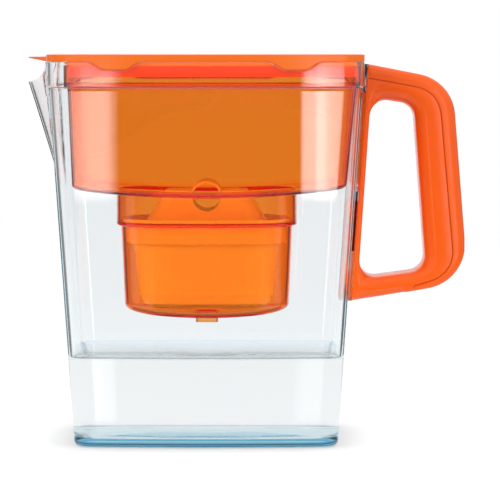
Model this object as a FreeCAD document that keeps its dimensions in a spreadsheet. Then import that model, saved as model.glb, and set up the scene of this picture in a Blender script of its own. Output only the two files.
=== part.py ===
import FreeCAD, Part
import math
import os
from dataclasses import dataclass, replace

import Sketcher

# A water filter pitcher of about three litres: a clear jug with a V spout, a two-piece handle on
# a rail, a lift-out funnel with a cup for the filter cartridge, and a lift-off lid.
# Millimetres, +Z up. The origin is the centre of the jug's foot on the table. The spout points
# along -X and the handle along +X.

SIZES = {
    # jug
    "jug_height": 250.0,
    "base_length": 175.0,
    "base_width": 106.0,
    "rim_length": 206.0,
    "rim_width": 123.0,
    "corner_radius": 12.0,
    "side_radius": 1000.0,
    "end_radius": 600.0,
    "jug_wall": 2.6,
    "base_thickness": 5.0,
    "base_chamfer": 2.0,
    "band_height": 15.5,
    "band_offset": 1.2,
    "band_wall": 2.2,
    # spout
    "spout_reach": 15.1,
    "spout_depth": 82.0,
    "spout_slope": 0.31,
    "spout_flare": 1.04,
    "spout_tip_radius": 4.5,
    "spout_wall": 2.4,
    "spout_lip_radius": 13.0,
    "spout_bury": 10.4,
    "spout_floor_rise": 7.2,
    # rail for the handle, with two T slots
    "rail_width": 24.0,
    "rail_depth": 2.3,
    "rail_bottom": 92.0,
    "slot_width": 16.0,
    "slot_throat": 10.0,
    "slot_lip": 1.3,
    "slot_depth": 2.0,
    "slot_top_gap": 4.0,
    "lug_height": 33.0,
    "lug_clearance": 0.2,
    # handle
    "handle_width": 32.0,
    "handle_drop": 1.3,
    "grip_top_reach": 59.2,
    "grip_top_drop": 12.2,
    "grip_low_reach": 70.3,
    "grip_low_rise": 12.9,
    "grip_radius": 29.0,
    "top_arm": 22.1,
    "top_arm_end": 15.8,
    "low_arm": 14.2,
    "low_arm_end": 7.5,
    "grip_top_thick": 25.4,
    "grip_low_thick": 28.0,
    "strip_thickness": 3.4,
    "opening_radius": 11.0,
    "spine_depth": 9.4,
    "spine_end_reach": 34.0,
    "handle_wall": 2.4,
    "handle_round": 6.0,
    "opening_round": 2.6,
    "parting_gap": 0.3,
    # lid
    "lid_thickness": 5.0,
    "lid_gap": 0.2,
    "lid_wall": 2.4,
    "lid_round": 1.2,
    "panel_border": 10.0,
    "panel_depth": 0.8,
    "skirt_depth": 9.6,
    "skirt_wall": 1.8,
    "beak_tip": 1.2,
    "beak_thickness": 4.0,
    "tab_offset": 57.8,
    "tab_root_width": 31.4,
    "tab_tip_width": 13.7,
    "tab_drop": 5.2,
    "tab_round": 3.5,
    "tab_shoulder": 7.0,
    "tab_clearance": 0.3,
    # funnel
    "fit_clearance": 0.4,
    "funnel_wall": 2.0,
    "funnel_gap": 1.2,
    "funnel_floor_gap": 3.0,
    "pour_gap": 8.6,
    "pour_gap_low": 4.8,
    "flange_thickness": 2.2,
    "collar_wall": 1.8,
    "collar_height": 13.0,
    "cup_step_height": 142.5,
    "well_depth": 19.9,
    "well_rise": 8.0,
    "floor_radius": 723.0,
    "cup_ledge": 3.0,
    "cup_draft": 2.3,
    "drip_gap": 3.4,
    "cup_floor_radius": 363.0,
    "nozzle_length": 14.7,
    "nozzle_width": 10.0,
    "nozzle_depth": 5.3,
    "nozzle_wall": 1.8,
    # filter cartridge
    "cartridge_length": 108.8,
    "cartridge_width": 64.8,
    "cartridge_corner": 24.0,
    "cartridge_side_radius": 300.0,
    "cartridge_end_radius": 90.0,
    "cartridge_fit": 0.5,
    "cartridge_wall": 1.5,
    "seat_gap": 0.2,
    "seat_lip": 1.4,
    "seat_lip_height": 2.4,
    "trough_depth": 13.4,
    "trough_draft": 0.8,
    "body_inset": 5.6,
    "body_depth": 43.4,
    "body_draft": 4.0,
    "body_round": 9.0,
    "cap_flange": 1.6,
    "cap_flange_inset": 1.8,
    "dome_inset": 6.4,
    "dome_height": 32.8,
    "dome_top_length": 54.0,
    "dome_top_width": 34.0,
    "dome_top_corner": 8.0,
    "ring_radius": 10.6,
    "ring_wall": 1.4,
    "ring_rise": 6.2,
    "ring_overhang": 1.6,
    "inlet_slot_length": 10.0,
    "inlet_slot_width": 1.5,
    "inlet_slot_pitch": 5.0,
    "inlet_slot_offset": 19.0,
    "end_vent_width": 8.0,
    "end_vent_height": 2.0,
    "end_vent_reach": 9.0,
    "outlet_slot_length": 14.0,
    "outlet_slot_width": 2.0,
    "outlet_slot_pitch": 9.0,
    "screen_thickness": 0.6,
    "screen_clearance": 0.3,
}
INLET_SLOTS = 3
OUTLET_SLOTS = 5
# Share of the spine's depth by which its inner corners drop and rise, so that the parting line
# runs along the outer edge of the sloping arms.
SPINE_TOP_SHARE = 0.75
SPINE_LOW_SHARE = 0.6
# Share of the cartridge's bottom rounding at which its middle section lies.
BULGE_SHARE = 0.3
OVERSHOOT = 1.0
TOLERANCE = 0.01

doc = FreeCAD.newDocument("water_filter_pitcher")


class Size:
    """A length that carries its number and the sheet expression that gives it."""

    def __init__(self, value, text):
        self.value = float(value)
        self.text = text

    @staticmethod
    def of(other):
        """Return other as a Size, taking plain numbers as they are."""
        return other if isinstance(other, Size) else Size(other, f"{other:.6g}")

    def _join(self, sign, other, value):
        return Size(value, f"({self.text} {sign} {other.text})")

    def __add__(self, other):
        other = Size.of(other)
        return self._join("+", other, self.value + other.value)

    def __sub__(self, other):
        other = Size.of(other)
        return self._join("-", other, self.value - other.value)

    def __mul__(self, other):
        other = Size.of(other)
        return self._join("*", other, self.value * other.value)

    def __truediv__(self, other):
        other = Size.of(other)
        return self._join("/", other, self.value / other.value)

    def __neg__(self):
        return Size(-self.value, f"(-1 * {self.text})")


ZERO = Size(0.0, "0")


class Sheet:
    """The spreadsheet of driving sizes, read as attributes that are Sizes."""

    def __init__(self, sizes):
        table = doc.addObject("Spreadsheet::Sheet", "Sizes")
        for row, (alias, number) in enumerate(sizes.items(), start=1):
            table.set(f"A{row}", alias)
            table.set(f"B{row}", str(number))
            table.setAlias(f"B{row}", alias)
            setattr(self, alias, Size(number, f"Sizes.{alias}"))


S = Sheet(SIZES)
doc.recompute()


def bind(obj, prop, size):
    """Set a property of a document object from a Size."""
    obj.setExpression(prop, Size.of(size).text)


def sketch_on(name, height=ZERO, centre=ZERO, upright=False):
    """Make an empty sketch on a level plane, or on the upright plane through the spout and handle."""
    sketch = doc.addObject("Sketcher::SketchObject", name)
    turn = FreeCAD.Rotation(FreeCAD.Vector(1, 0, 0), 90 if upright else 0)
    sketch.Placement = FreeCAD.Placement(FreeCAD.Vector(centre.value, 0, height.value), turn)
    bind(sketch, "Placement.Base.z", height)
    bind(sketch, "Placement.Base.x", centre)
    return sketch


def fix(sketch, kind, refs, size, name):
    """Add a named driving constraint whose value follows a Size."""
    sketch.addConstraint(Sketcher.Constraint(kind, *refs, size.value))
    sketch.renameConstraint(sketch.ConstraintCount - 1, name)
    bind(sketch, f"Constraints.{name}", size)


def fix_point(sketch, ref, x, y, name):
    """Hold a sketch point at x, y from the sketch's origin."""
    for kind, size, axis in (("DistanceX", x, -2), ("DistanceY", y, -1)):
        if size.value == 0:
            sketch.addConstraint(Sketcher.Constraint("PointOnObject", *ref, axis))
        elif size.value > 0:
            fix(sketch, kind, (-1, 1, *ref), size, f"{name}_{kind}")
        else:
            fix(sketch, kind, (*ref, -1, 1), -size, f"{name}_{kind}")


@dataclass(frozen=True)
class Outline:
    """A rounded rectangle whose sides and ends bow outwards, seen from above."""

    half_length: Size
    half_width: Size
    corner: Size
    side: Size
    end: Size
    centre: Size = ZERO

    def inset(self, gap):
        """Return the outline moved inwards by a gap all round."""
        return replace(
            self,
            half_length=self.half_length - gap,
            half_width=self.half_width - gap,
            corner=self.corner - gap,
            side=self.side - gap,
            end=self.end - gap,
        )

    def sketch(self, name, height):
        """Draw the outline at a height as eight tangent arcs."""
        sketch = sketch_on(name, height, self.centre)
        side_centre = self.side - self.half_width
        end_centre = self.end - self.half_length
        end_angle, side_angle, corner_x, corner_y = self._corner(side_centre.value, end_centre.value)
        full, half = 2 * math.pi, math.pi
        arcs = [
            (-end_centre.value, 0, self.end.value, -end_angle, end_angle),
            (corner_x, corner_y, self.corner.value, end_angle, side_angle),
            (0, -side_centre.value, self.side.value, side_angle, half - side_angle),
            (-corner_x, corner_y, self.corner.value, half - side_angle, half - end_angle),
            (end_centre.value, 0, self.end.value, half - end_angle, half + end_angle),
            (-corner_x, -corner_y, self.corner.value, half + end_angle, half + side_angle),
            (0, side_centre.value, self.side.value, half + side_angle, full - side_angle),
            (corner_x, -corner_y, self.corner.value, full - side_angle, full - end_angle),
        ]
        for x, y, radius, start, stop in arcs:
            circle = Part.Circle(FreeCAD.Vector(x, y, 0), FreeCAD.Vector(0, 0, 1), radius)
            sketch.addGeometry(Part.ArcOfCircle(circle, start, stop), False)
        for index in range(len(arcs)):
            following = (index + 1) % len(arcs)
            sketch.addConstraint(Sketcher.Constraint("Tangent", index, 2, following, 1))
        for first, others in ((0, (4,)), (2, (6,)), (1, (3, 5, 7))):
            for other in others:
                sketch.addConstraint(Sketcher.Constraint("Equal", first, other))
        for index, axis in ((0, -1), (4, -1), (2, -2), (6, -2)):
            sketch.addConstraint(Sketcher.Constraint("PointOnObject", index, 3, axis))
        fix(sketch, "Radius", (0,), self.end, "end_radius")
        fix(sketch, "Radius", (2,), self.side, "side_radius")
        fix(sketch, "Radius", (1,), self.corner, "corner_radius")
        fix(sketch, "DistanceX", (0, 3, -1, 1), end_centre, "end_centre")
        fix(sketch, "DistanceX", (-1, 1, 4, 3), end_centre, "far_end_centre")
        fix(sketch, "DistanceY", (2, 3, -1, 1), side_centre, "side_centre")
        fix(sketch, "DistanceY", (-1, 1, 6, 3), side_centre, "far_side_centre")
        return sketch

    def _corner(self, side_centre, end_centre):
        """Return the angles where the corner arc begins and ends, and its centre."""
        to_side = self.side.value - self.corner.value
        to_end = self.end.value - self.corner.value
        apart = math.hypot(side_centre, end_centre)
        along = (to_side**2 - to_end**2 + apart**2) / (2 * apart)
        across = math.sqrt(to_side**2 - along**2)
        ux, uy = -end_centre / apart, side_centre / apart
        x = along * ux + across * uy
        y = -side_centre + along * uy - across * ux
        return math.atan2(y, x + end_centre), math.atan2(y + side_centre, x), x, y


def polygon(name, corners, height=ZERO, upright=False):
    """Draw a closed polygon through corners (x, y, radius), rounding those with a radius."""
    sketch = sketch_on(name, height, upright=upright)
    points = [FreeCAD.Vector(x.value, y.value, 0) for x, y, radius in corners]
    radii = [Size.of(radius) for x, y, radius in corners]
    count = len(points)
    starts, stops, arcs = [], [], []
    for index, (point, radius) in enumerate(zip(points, radii)):
        back = (points[index - 1] - point).normalize()
        ahead = (points[(index + 1) % count] - point).normalize()
        reach = radius.value / math.tan(back.getAngle(ahead) / 2)
        stops.append(point + back * reach)
        starts.append(point + ahead * reach)
        arcs.append((back, ahead))
    for index in range(count):
        following = (index + 1) % count
        sketch.addGeometry(Part.LineSegment(starts[index], stops[following]), False)
    for index, (x, y, _) in enumerate(corners):
        before = (index - 1) % count
        radius = radii[index]
        if radius.value == 0:
            sketch.addConstraint(Sketcher.Constraint("Coincident", before, 2, index, 1))
            fix_point(sketch, (index, 1), x, y, f"corner{index}")
            continue
        back, ahead = arcs[index]
        middle = (back + ahead).normalize()
        centre = points[index] + middle * (radius.value / math.sin(back.getAngle(ahead) / 2))
        left_turn = ahead.cross(back).z > 0
        first, last = (1, 2) if left_turn else (2, 1)
        begin, end = (stops[index], starts[index]) if left_turn else (starts[index], stops[index])
        circle = Part.Circle(centre, FreeCAD.Vector(0, 0, 1), radius.value)
        span = (circle.parameter(begin), circle.parameter(end))
        arc = sketch.addGeometry(Part.ArcOfCircle(circle, *span), False)
        sketch.addConstraint(Sketcher.Constraint("Tangent", before, 2, arc, first))
        sketch.addConstraint(Sketcher.Constraint("Tangent", arc, last, index, 1))
        fix(sketch, "Radius", (arc,), radius, f"radius{index}")
        mark = sketch.addGeometry(Part.Point(points[index]), True)
        sketch.addConstraint(Sketcher.Constraint("PointOnObject", mark, 1, before))
        sketch.addConstraint(Sketcher.Constraint("PointOnObject", mark, 1, index))
        fix_point(sketch, (mark, 1), x, y, f"corner{index}")
    return sketch


def loft(name, *sections, ruled=True):
    """Make a solid through the given section sketches."""
    solid = doc.addObject("Part::Loft", name)
    solid.Sections = list(sections)
    solid.Solid = True
    solid.Ruled = ruled
    return solid


def extrude(name, sketch, length, direction=(0, 0, 1), middle=False):
    """Push a sketch along a direction, or both ways from the middle."""
    solid = doc.addObject("Part::Extrusion", name)
    solid.Base = sketch
    solid.DirMode = "Custom"
    solid.Dir = FreeCAD.Vector(*direction)
    solid.Solid = True
    solid.Symmetric = middle
    bind(solid, "LengthFwd", length)
    return solid


def prism(name, outline, bottom, top):
    """Push an outline up from one height to another."""
    return extrude(name, outline.sketch(f"{name}_outline", bottom), top - bottom)


def slab(name, corners, width):
    """Push an upright polygon both ways across the pitcher's middle plane."""
    return extrude(name, polygon(f"{name}_outline", corners, upright=True), width, (0, 1, 0), middle=True)


def cross_cylinder(name, radius, height, length):
    """Make a cylinder across the pitcher, with its axis at a height over the origin."""
    rod = doc.addObject("Part::Cylinder", name)
    turn = FreeCAD.Rotation(FreeCAD.Vector(1, 0, 0), -90)
    rod.Placement = FreeCAD.Placement(FreeCAD.Vector(0, -length.value / 2, height.value), turn)
    bind(rod, "Placement.Base.y", -(length / 2))
    bind(rod, "Placement.Base.z", height)
    bind(rod, "Radius", radius)
    bind(rod, "Height", length)
    return rod


def box(name, x, y, bottom, length, width, height):
    """Make a box centred at x, y that stands at a height."""
    block = doc.addObject("Part::Box", name)
    bind(block, "Length", length)
    bind(block, "Width", width)
    bind(block, "Height", height)
    bind(block, "Placement.Base.x", Size.of(x) - length / 2)
    bind(block, "Placement.Base.y", Size.of(y) - width / 2)
    bind(block, "Placement.Base.z", bottom)
    return block


def fuse(name, *shapes):
    """Join solids into one."""
    solid = doc.addObject("Part::MultiFuse", name)
    solid.Shapes = list(shapes)
    return solid


def common(name, *shapes):
    """Keep what all the solids share."""
    solid = doc.addObject("Part::MultiCommon", name)
    solid.Shapes = list(shapes)
    return solid


def cut(name, base, *tools):
    """Take tools away from a base."""
    solid = doc.addObject("Part::Cut", name)
    solid.Base = base
    solid.Tool = tools[0] if len(tools) == 1 else fuse(f"{name}_tools", *tools)
    return solid


def fillet(name, base, radius_of):
    """Round each edge of a base for which radius_of gives a radius."""
    doc.recompute()
    solid = doc.addObject("Part::Fillet", name)
    solid.Base = base
    edges = [(number, radius_of(edge)) for number, edge in enumerate(base.Shape.Edges, start=1)]
    solid.Edges = [(number, radius, radius) for number, radius in edges if radius]
    return solid


# Shared heights and outlines
ledge = S.jug_height - S.band_height
lid_seat = S.jug_height + S.lid_gap
lid_top = S.jug_height + S.lid_thickness
spout_root = S.jug_height - S.spout_depth
handle_top = S.jug_height - S.handle_drop
collar_top = ledge + S.collar_height
jug_base = Outline(S.base_length / 2, S.base_width / 2, S.corner_radius, S.side_radius, S.end_radius)
jug_rim = replace(jug_base, half_length=S.rim_length / 2, half_width=S.rim_width / 2)
band = jug_rim.inset(-S.band_offset)
band_inside = band.inset(S.band_wall)
flange = replace(
    band_inside.inset(S.fit_clearance),
    half_length=band_inside.half_length - S.fit_clearance - S.pour_gap / 2,
    centre=S.pour_gap / 2,
)
spout_tip = jug_rim.half_length + S.spout_reach
spout_slant = math.hypot(1, S.spout_flare.value) / S.spout_flare.value
beyond = S.rim_width * 2
cartridge_rim = Outline(
    S.cartridge_length / 2,
    S.cartridge_width / 2,
    S.cartridge_corner,
    S.cartridge_side_radius,
    S.cartridge_end_radius,
)
seat_height = S.cup_step_height + S.funnel_wall + S.seat_gap
trough_floor = seat_height - S.trough_depth
cap_seat = trough_floor + S.cartridge_wall
cartridge_bottom = trough_floor - S.body_depth
cup_bottom = cartridge_bottom - S.drip_gap - S.funnel_wall
floor_height = S.cup_step_height + S.well_depth


def jug_at(height):
    """Return the jug's outside outline at a height under the rim band."""
    share = height / ledge
    return replace(
        jug_base,
        half_length=jug_base.half_length + (jug_rim.half_length - jug_base.half_length) * share,
        half_width=jug_base.half_width + (jug_rim.half_width - jug_base.half_width) * share,
    )


def rail_face(height):
    """Return how far the face of the handle rail lies along +X at a height."""
    return jug_at(height).half_length + S.rail_depth


def spout_section(name, height, tip, back, radius):
    """Draw a level V whose rounded tip, at a given place, points along -X."""
    corner = tip - radius * (spout_slant - 1)
    half = (back - corner) * S.spout_flare
    return polygon(name, [(back, half, 0), (corner, ZERO, radius), (back, -half, 0)], height)


def spout(name, wall, bottom, top):
    """Make the solid V of the spout, with its faces moved inwards by a wall."""
    lip_height = S.jug_height - S.spout_lip_radius
    back = -(jug_at(spout_root).half_length - S.spout_bury)
    sections = []
    for label, height in (("bottom", bottom), ("top", top)):
        keel = -spout_tip - (height - lip_height) * S.spout_slope + wall
        radius = S.spout_tip_radius - wall
        sections.append(spout_section(f"{name}_{label}", height, keel, back, radius))
    return loft(name, *sections)


def tab_prism(name, side, clearance):
    """Make the bar across the pitcher whose section is a finger tab of the lid."""
    middle = S.tab_offset * side
    root = S.tab_root_width / 2 + clearance
    tip = S.tab_tip_width / 2 + clearance
    low = S.jug_height - S.tab_drop - clearance
    wide = root + S.tab_shoulder
    seat = lid_seat if clearance.value == 0 else S.jug_height
    high = lid_seat + OVERSHOOT
    corners = [
        (middle - wide, high, 0),
        (middle - wide, seat, 0),
        (middle - root, seat, S.tab_round),
        (middle - tip, low, S.tab_round),
        (middle + tip, low, S.tab_round),
        (middle + root, seat, S.tab_round),
        (middle + wide, seat, 0),
        (middle + wide, high, 0),
    ]
    return slab(name, corners, beyond)


def rail_bar(name, near, far, bottom, top, width):
    """Make a bar that leans with the jug's end wall, between two distances from the rail's face."""
    corners = [
        (rail_face(bottom) - near, bottom, 0),
        (rail_face(bottom) - far, bottom, 0),
        (rail_face(top) - far, top, 0),
        (rail_face(top) - near, top, 0),
    ]
    return slab(name, corners, width)


def lug_heights():
    """Return the bottom and top of the low and the high T lug."""
    high_top = ledge - S.slot_top_gap
    return {
        "low": (S.rail_bottom, S.rail_bottom + S.lug_height),
        "high": (high_top - S.lug_height, high_top),
    }


def make_jug():
    """Make the clear jug with its spout, rim band, rail and T slots."""
    chamfer = S.base_chamfer
    wall = S.jug_wall
    outside = loft(
        "jug_outside",
        jug_base.inset(chamfer).sketch("jug_foot_outline", ZERO),
        jug_at(chamfer).sketch("jug_base_outline", chamfer),
        jug_rim.sketch("jug_rim_outline", ledge),
    )
    inside_floor = S.base_thickness
    inside_low = inside_floor + chamfer
    inside = loft(
        "jug_inside",
        jug_at(inside_floor).inset(wall + chamfer).sketch("jug_floor_outline", inside_floor),
        jug_at(inside_low).inset(wall).sketch("jug_inner_outline", inside_low),
        jug_rim.inset(wall).sketch("jug_mouth_outline", ledge),
    )
    body = fuse(
        "jug_body",
        outside,
        prism("jug_band", band, ledge, S.jug_height),
        spout("jug_spout", ZERO, spout_root, S.jug_height),
        rail_bar("jug_rail", ZERO, S.rail_depth + wall / 2, S.rail_bottom, handle_top, S.rail_width),
    )
    lip = cross_cylinder("jug_lip_cut", S.spout_lip_radius, S.jug_height, beyond)
    bind(lip, "Placement.Base.x", -spout_tip)
    hollows = [
        inside,
        prism("jug_band_inside", band_inside, ledge, S.jug_height + OVERSHOOT),
        spout("jug_spout_inside", S.spout_wall, spout_root + S.spout_floor_rise, S.jug_height + OVERSHOOT),
        lip,
    ]
    for side, label in ((-1, "left"), (1, "right")):
        hollows.append(tab_prism(f"jug_notch_{label}", side, S.tab_clearance))
    for label, (bottom, top) in lug_heights().items():
        deep = S.slot_lip + S.slot_depth
        proud = Size.of(-OVERSHOOT)
        entry = bottom - S.lug_height if label == "high" else bottom - OVERSHOOT
        hollows.append(rail_bar(f"jug_slot_{label}", S.slot_lip, deep, entry, top, S.slot_width))
        hollows.append(rail_bar(f"jug_throat_{label}", proud, deep, entry, top, S.slot_throat))
        if label == "high":
            hollows.append(rail_bar("jug_entry", proud, deep, entry, bottom, S.slot_width))
    return cut("jug", body, *hollows)


def handle_corners():
    """Return the outer and the opening corners of the handle in the upright middle plane."""
    low_x = jug_rim.half_length + S.grip_low_reach
    low_z = S.rail_bottom + S.grip_low_rise
    high_x = jug_rim.half_length + S.grip_top_reach
    high_z = S.jug_height - S.grip_top_drop
    outer = {
        "low_jug": (rail_face(S.rail_bottom), S.rail_bottom),
        "low": (low_x, low_z),
        "high": (high_x, high_z),
        "high_jug": (rail_face(handle_top), handle_top),
    }
    open_high = handle_top - S.top_arm
    open_low = S.rail_bottom + S.low_arm
    opening = {
        "low_jug": (rail_face(open_low) + S.strip_thickness, open_low),
        "low": (low_x - S.grip_low_thick, low_z + S.low_arm_end),
        "high": (high_x - S.grip_top_thick, high_z - S.top_arm_end),
        "high_jug": (rail_face(open_high) + S.strip_thickness, open_high),
    }
    return outer, opening


def spine_zone(name, gap):
    """Make the zone outside the parting line, which runs a spine's depth inside the outer edge."""
    outer, _ = handle_corners()
    depth = S.spine_depth + gap
    (low_x, low_z), (high_x, high_z) = outer["low"], outer["high"]
    jug_x, jug_z = outer["high_jug"]
    end_x = jug_rim.half_length + S.spine_end_reach - gap
    far_x = low_x + S.grip_radius
    radius = S.grip_radius - depth
    corners = [
        (jug_x - S.grip_radius, jug_z - depth, 0),
        (jug_x, jug_z - depth, 0),
        (high_x - depth, high_z - depth * SPINE_TOP_SHARE, radius),
        (low_x - depth, low_z + depth * SPINE_LOW_SHARE, radius),
        (end_x, S.rail_bottom + S.low_arm - S.low_arm_end / 2 + gap, 0),
        (end_x, S.rail_bottom - S.grip_radius, 0),
        (far_x, S.rail_bottom - S.grip_radius, 0),
        (far_x, jug_z + S.grip_radius, 0),
        (jug_x - S.grip_radius, jug_z + S.grip_radius, 0),
    ]
    return slab(name, corners, S.handle_width * 2)


def handle_hollow(name):
    """Make the space inside the two handle shells."""
    outer, opening = handle_corners()
    wall = S.handle_wall
    jug_x, jug_z = outer["high_jug"]
    start_x = jug_x + S.opening_radius
    fall = (outer["high"][1] - jug_z) / (outer["high"][0] - jug_x)
    rise = S.grip_low_rise / (outer["low"][0] - outer["low_jug"][0])
    top_at_start = jug_z + fall * (start_x - jug_x)
    low_at_start = S.rail_bottom + rise * (start_x - outer["low_jug"][0])
    inner_radius = S.grip_radius - wall
    corners = [
        (start_x, top_at_start - wall, 0),
        (outer["high"][0] - wall, outer["high"][1] - wall, inner_radius),
        (outer["low"][0] - wall, outer["low"][1] + wall, inner_radius),
        (start_x, low_at_start + wall, 0),
        (start_x, opening["low_jug"][1] - wall, 0),
        (opening["low"][0] + wall, opening["low"][1] - wall, S.opening_radius + wall),
        (opening["high"][0] + wall, opening["high"][1] + wall, S.opening_radius + wall),
        (start_x, opening["high_jug"][1] + wall, 0),
    ]
    return slab(name, corners, S.handle_width - wall * 2)


def handle_shell():
    """Make the rounded outside of the handle, still in one piece."""
    outer, opening = handle_corners()
    rounded = [
        (*outer["low_jug"], 0),
        (*outer["low"], S.grip_radius),
        (*outer["high"], S.grip_radius),
        (*outer["high_jug"], 0),
    ]
    window = [(*opening[key], S.opening_radius) for key in ("low_jug", "low", "high", "high_jug")]
    blank = cut(
        "handle_blank",
        slab("handle_outside", rounded, S.handle_width),
        slab("handle_opening", window, S.handle_width * 2),
    )
    (low_x, low_z), (high_x, high_z) = outer["low_jug"], outer["high_jug"]
    lean = (high_x.value - low_x.value) / (high_z.value - low_z.value)

    def radius_of(edge):
        """Round the long edges on both flanks, but not those against the rail."""
        middle = edge.valueAt((edge.FirstParameter + edge.LastParameter) / 2)
        if abs(abs(middle.y) - S.handle_width.value / 2) > TOLERANCE:
            return 0
        from_rail = middle.x - low_x.value - lean * (middle.z - low_z.value)
        if from_rail < S.strip_thickness.value / 2:
            return 0
        on_opening = within(opening, S.opening_round.value, middle)
        return S.opening_round.value if on_opening else S.handle_round.value

    return fillet("handle_rounded", blank, radius_of)


def within(opening, margin, point):
    """Return whether a point lies in the handle's opening or within a margin of it."""
    xs = [x.value for x, z in opening.values()]
    zs = [z.value for x, z in opening.values()]
    across = min(xs) - margin < point.x < max(xs) + margin
    return across and min(zs) - margin < point.z < max(zs) + margin


def make_handle():
    """Make the handle's frame with its T lugs, and the spine that covers its back."""
    shell = handle_shell()
    hollow = handle_hollow("handle_hollow")
    spine = cut("handle_spine", common("spine_solid", shell, spine_zone("spine_zone", ZERO)), hollow)
    frame_shell = cut("frame_solid", shell, spine_zone("frame_zone", S.parting_gap), hollow)
    lugs = []
    gap = S.lug_clearance
    for label, (bottom, top) in lug_heights().items():
        lip = S.slot_lip + gap
        head = S.slot_lip + S.slot_depth - gap
        stem = S.slot_throat - gap * 2
        into = -(S.strip_thickness / 2)
        lugs.append(rail_bar(f"lug_head_{label}", lip, head, bottom, top - gap, S.slot_width - gap * 2))
        lugs.append(rail_bar(f"lug_stem_{label}", into, head, bottom, top - gap, stem))
    return fuse("handle_frame", frame_shell, *lugs), spine


def make_lid():
    """Make the lid with its beak, finger tabs, raised border and plug skirt."""
    plate = prism("lid_plate", band, lid_seat, lid_top)

    def radius_of(edge):
        """Round the top edge only."""
        on_top = all(abs(vertex.Point.z - lid_top.value) < TOLERANCE for vertex in edge.Vertexes)
        return S.lid_round.value if on_top else 0

    rounded = fillet("lid_rounded", plate, radius_of)
    under = lid_top - S.lid_wall
    hollow = prism("lid_hollow", band.inset(S.lid_wall), lid_seat - OVERSHOOT, under)
    panel = prism("lid_panel", band.inset(S.panel_border), lid_top - S.panel_depth, lid_top + OVERSHOOT)
    skirt_outline = flange.inset(S.collar_wall + S.fit_clearance)
    skirt_low = S.jug_height - S.skirt_depth
    skirt = cut(
        "lid_skirt",
        prism("lid_skirt_outside", skirt_outline, skirt_low, under + S.lid_wall / 2),
        prism("lid_skirt_inside", skirt_outline.inset(S.skirt_wall), skirt_low - OVERSHOOT, under),
    )
    tip = -spout_tip
    root = -(jug_rim.half_length - S.lid_wall)
    beak_plan = spout_section("beak_plan", lid_seat, tip, root, S.spout_tip_radius)
    beak_high = lid_top - S.lid_round
    wedge = [
        (root, beak_high, 0),
        (tip, beak_high, 0),
        (tip, beak_high - S.beak_tip, 0),
        (-band.half_length, beak_high - S.beak_thickness + S.lid_gap, 0),
        (root, beak_high - S.beak_thickness + S.lid_gap, 0),
    ]
    beak = common(
        "lid_beak",
        extrude("beak_column", beak_plan, S.lid_thickness),
        slab("beak_wedge", wedge, beyond),
    )
    tab_ring = cut(
        "lid_tab_ring",
        prism("lid_tab_outside", band, S.jug_height - S.band_height, under),
        prism("lid_tab_inside", band.inset(S.band_wall), S.jug_height - S.band_height - OVERSHOOT, lid_top),
    )
    bars = [tab_prism(f"lid_tab_{label}", side, ZERO) for side, label in ((-1, "left"), (1, "right"))]
    tabs = common("lid_tabs", tab_ring, fuse("lid_tab_bars", *bars))
    return fuse("lid", cut("lid_shell", rounded, hollow, panel), skirt, beak, tabs)


def cup_outlines():
    """Return the lower cup's inside outlines at its ledge and at its bottom."""
    top = cartridge_rim.inset(-S.cartridge_fit)
    return top, top.inset(S.cup_draft)


def make_funnel():
    """Make the funnel with its collar, dished floor, stepped cup and drain nozzle."""
    wall = S.funnel_wall
    tank_top = replace(
        jug_rim.inset(S.jug_wall + S.funnel_gap),
        half_length=jug_rim.half_length - S.jug_wall - S.funnel_gap - S.pour_gap / 2,
        centre=S.pour_gap / 2,
    )
    low = jug_at(floor_height).inset(S.jug_wall + S.funnel_floor_gap)
    tank_low = replace(low, half_length=low.half_length - S.pour_gap_low / 2, centre=S.pour_gap_low / 2)
    floor_axis = floor_height + S.floor_radius
    cup_axis = cup_bottom + S.cup_floor_radius
    cup_top, cup_low = cup_outlines()
    well = cup_top.inset(-S.cup_ledge)
    well_top = floor_height + S.well_rise
    nozzle_low = cup_bottom - S.nozzle_depth
    flange_top = ledge + S.flange_thickness

    def dished(name, inset, step):
        """Make the tank's and the cup's solid, moved inwards by an inset, with dished floors."""
        tank = loft(
            f"{name}_tank",
            tank_low.inset(inset).sketch(f"{name}_tank_low", floor_height),
            tank_top.inset(inset).sketch(f"{name}_tank_top", ledge),
        )
        floor = cross_cylinder(f"{name}_floor", S.floor_radius - inset, floor_axis, beyond)
        cup = loft(
            f"{name}_cup",
            cup_low.inset(inset - wall).sketch(f"{name}_cup_low", cup_bottom),
            cup_top.inset(inset - wall).sketch(f"{name}_cup_top", step),
        )
        cup_floor = cross_cylinder(f"{name}_cup_floor", S.cup_floor_radius - inset, cup_axis, beyond)
        return [
            common(f"{name}_tank_dished", tank, floor),
            common(f"{name}_cup_dished", cup, cup_floor),
            prism(f"{name}_well", well.inset(inset - wall), step, well_top),
        ]

    outside = fuse(
        "funnel_outside",
        *dished("funnel_outer", ZERO, S.cup_step_height),
        prism("funnel_collar", flange, ledge, collar_top),
        box("funnel_nozzle", 0, 0, nozzle_low, S.nozzle_length, S.nozzle_width, S.nozzle_depth + wall),
    )
    bore_height = S.nozzle_depth + wall + OVERSHOOT * 2
    bore_length = S.nozzle_length - S.nozzle_wall * 2
    bore_width = S.nozzle_width - S.nozzle_wall * 2
    hollows = dished("funnel_inner", wall, S.cup_step_height + wall)
    hollows += [
        prism("funnel_throat", tank_top.inset(wall), ledge, flange_top),
        prism("funnel_collar_inside", flange.inset(S.collar_wall), flange_top, collar_top + OVERSHOOT),
        box("funnel_bore", 0, 0, nozzle_low - OVERSHOOT, bore_length, bore_width, bore_height),
    ]
    return cut("funnel", outside, *hollows)


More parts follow.
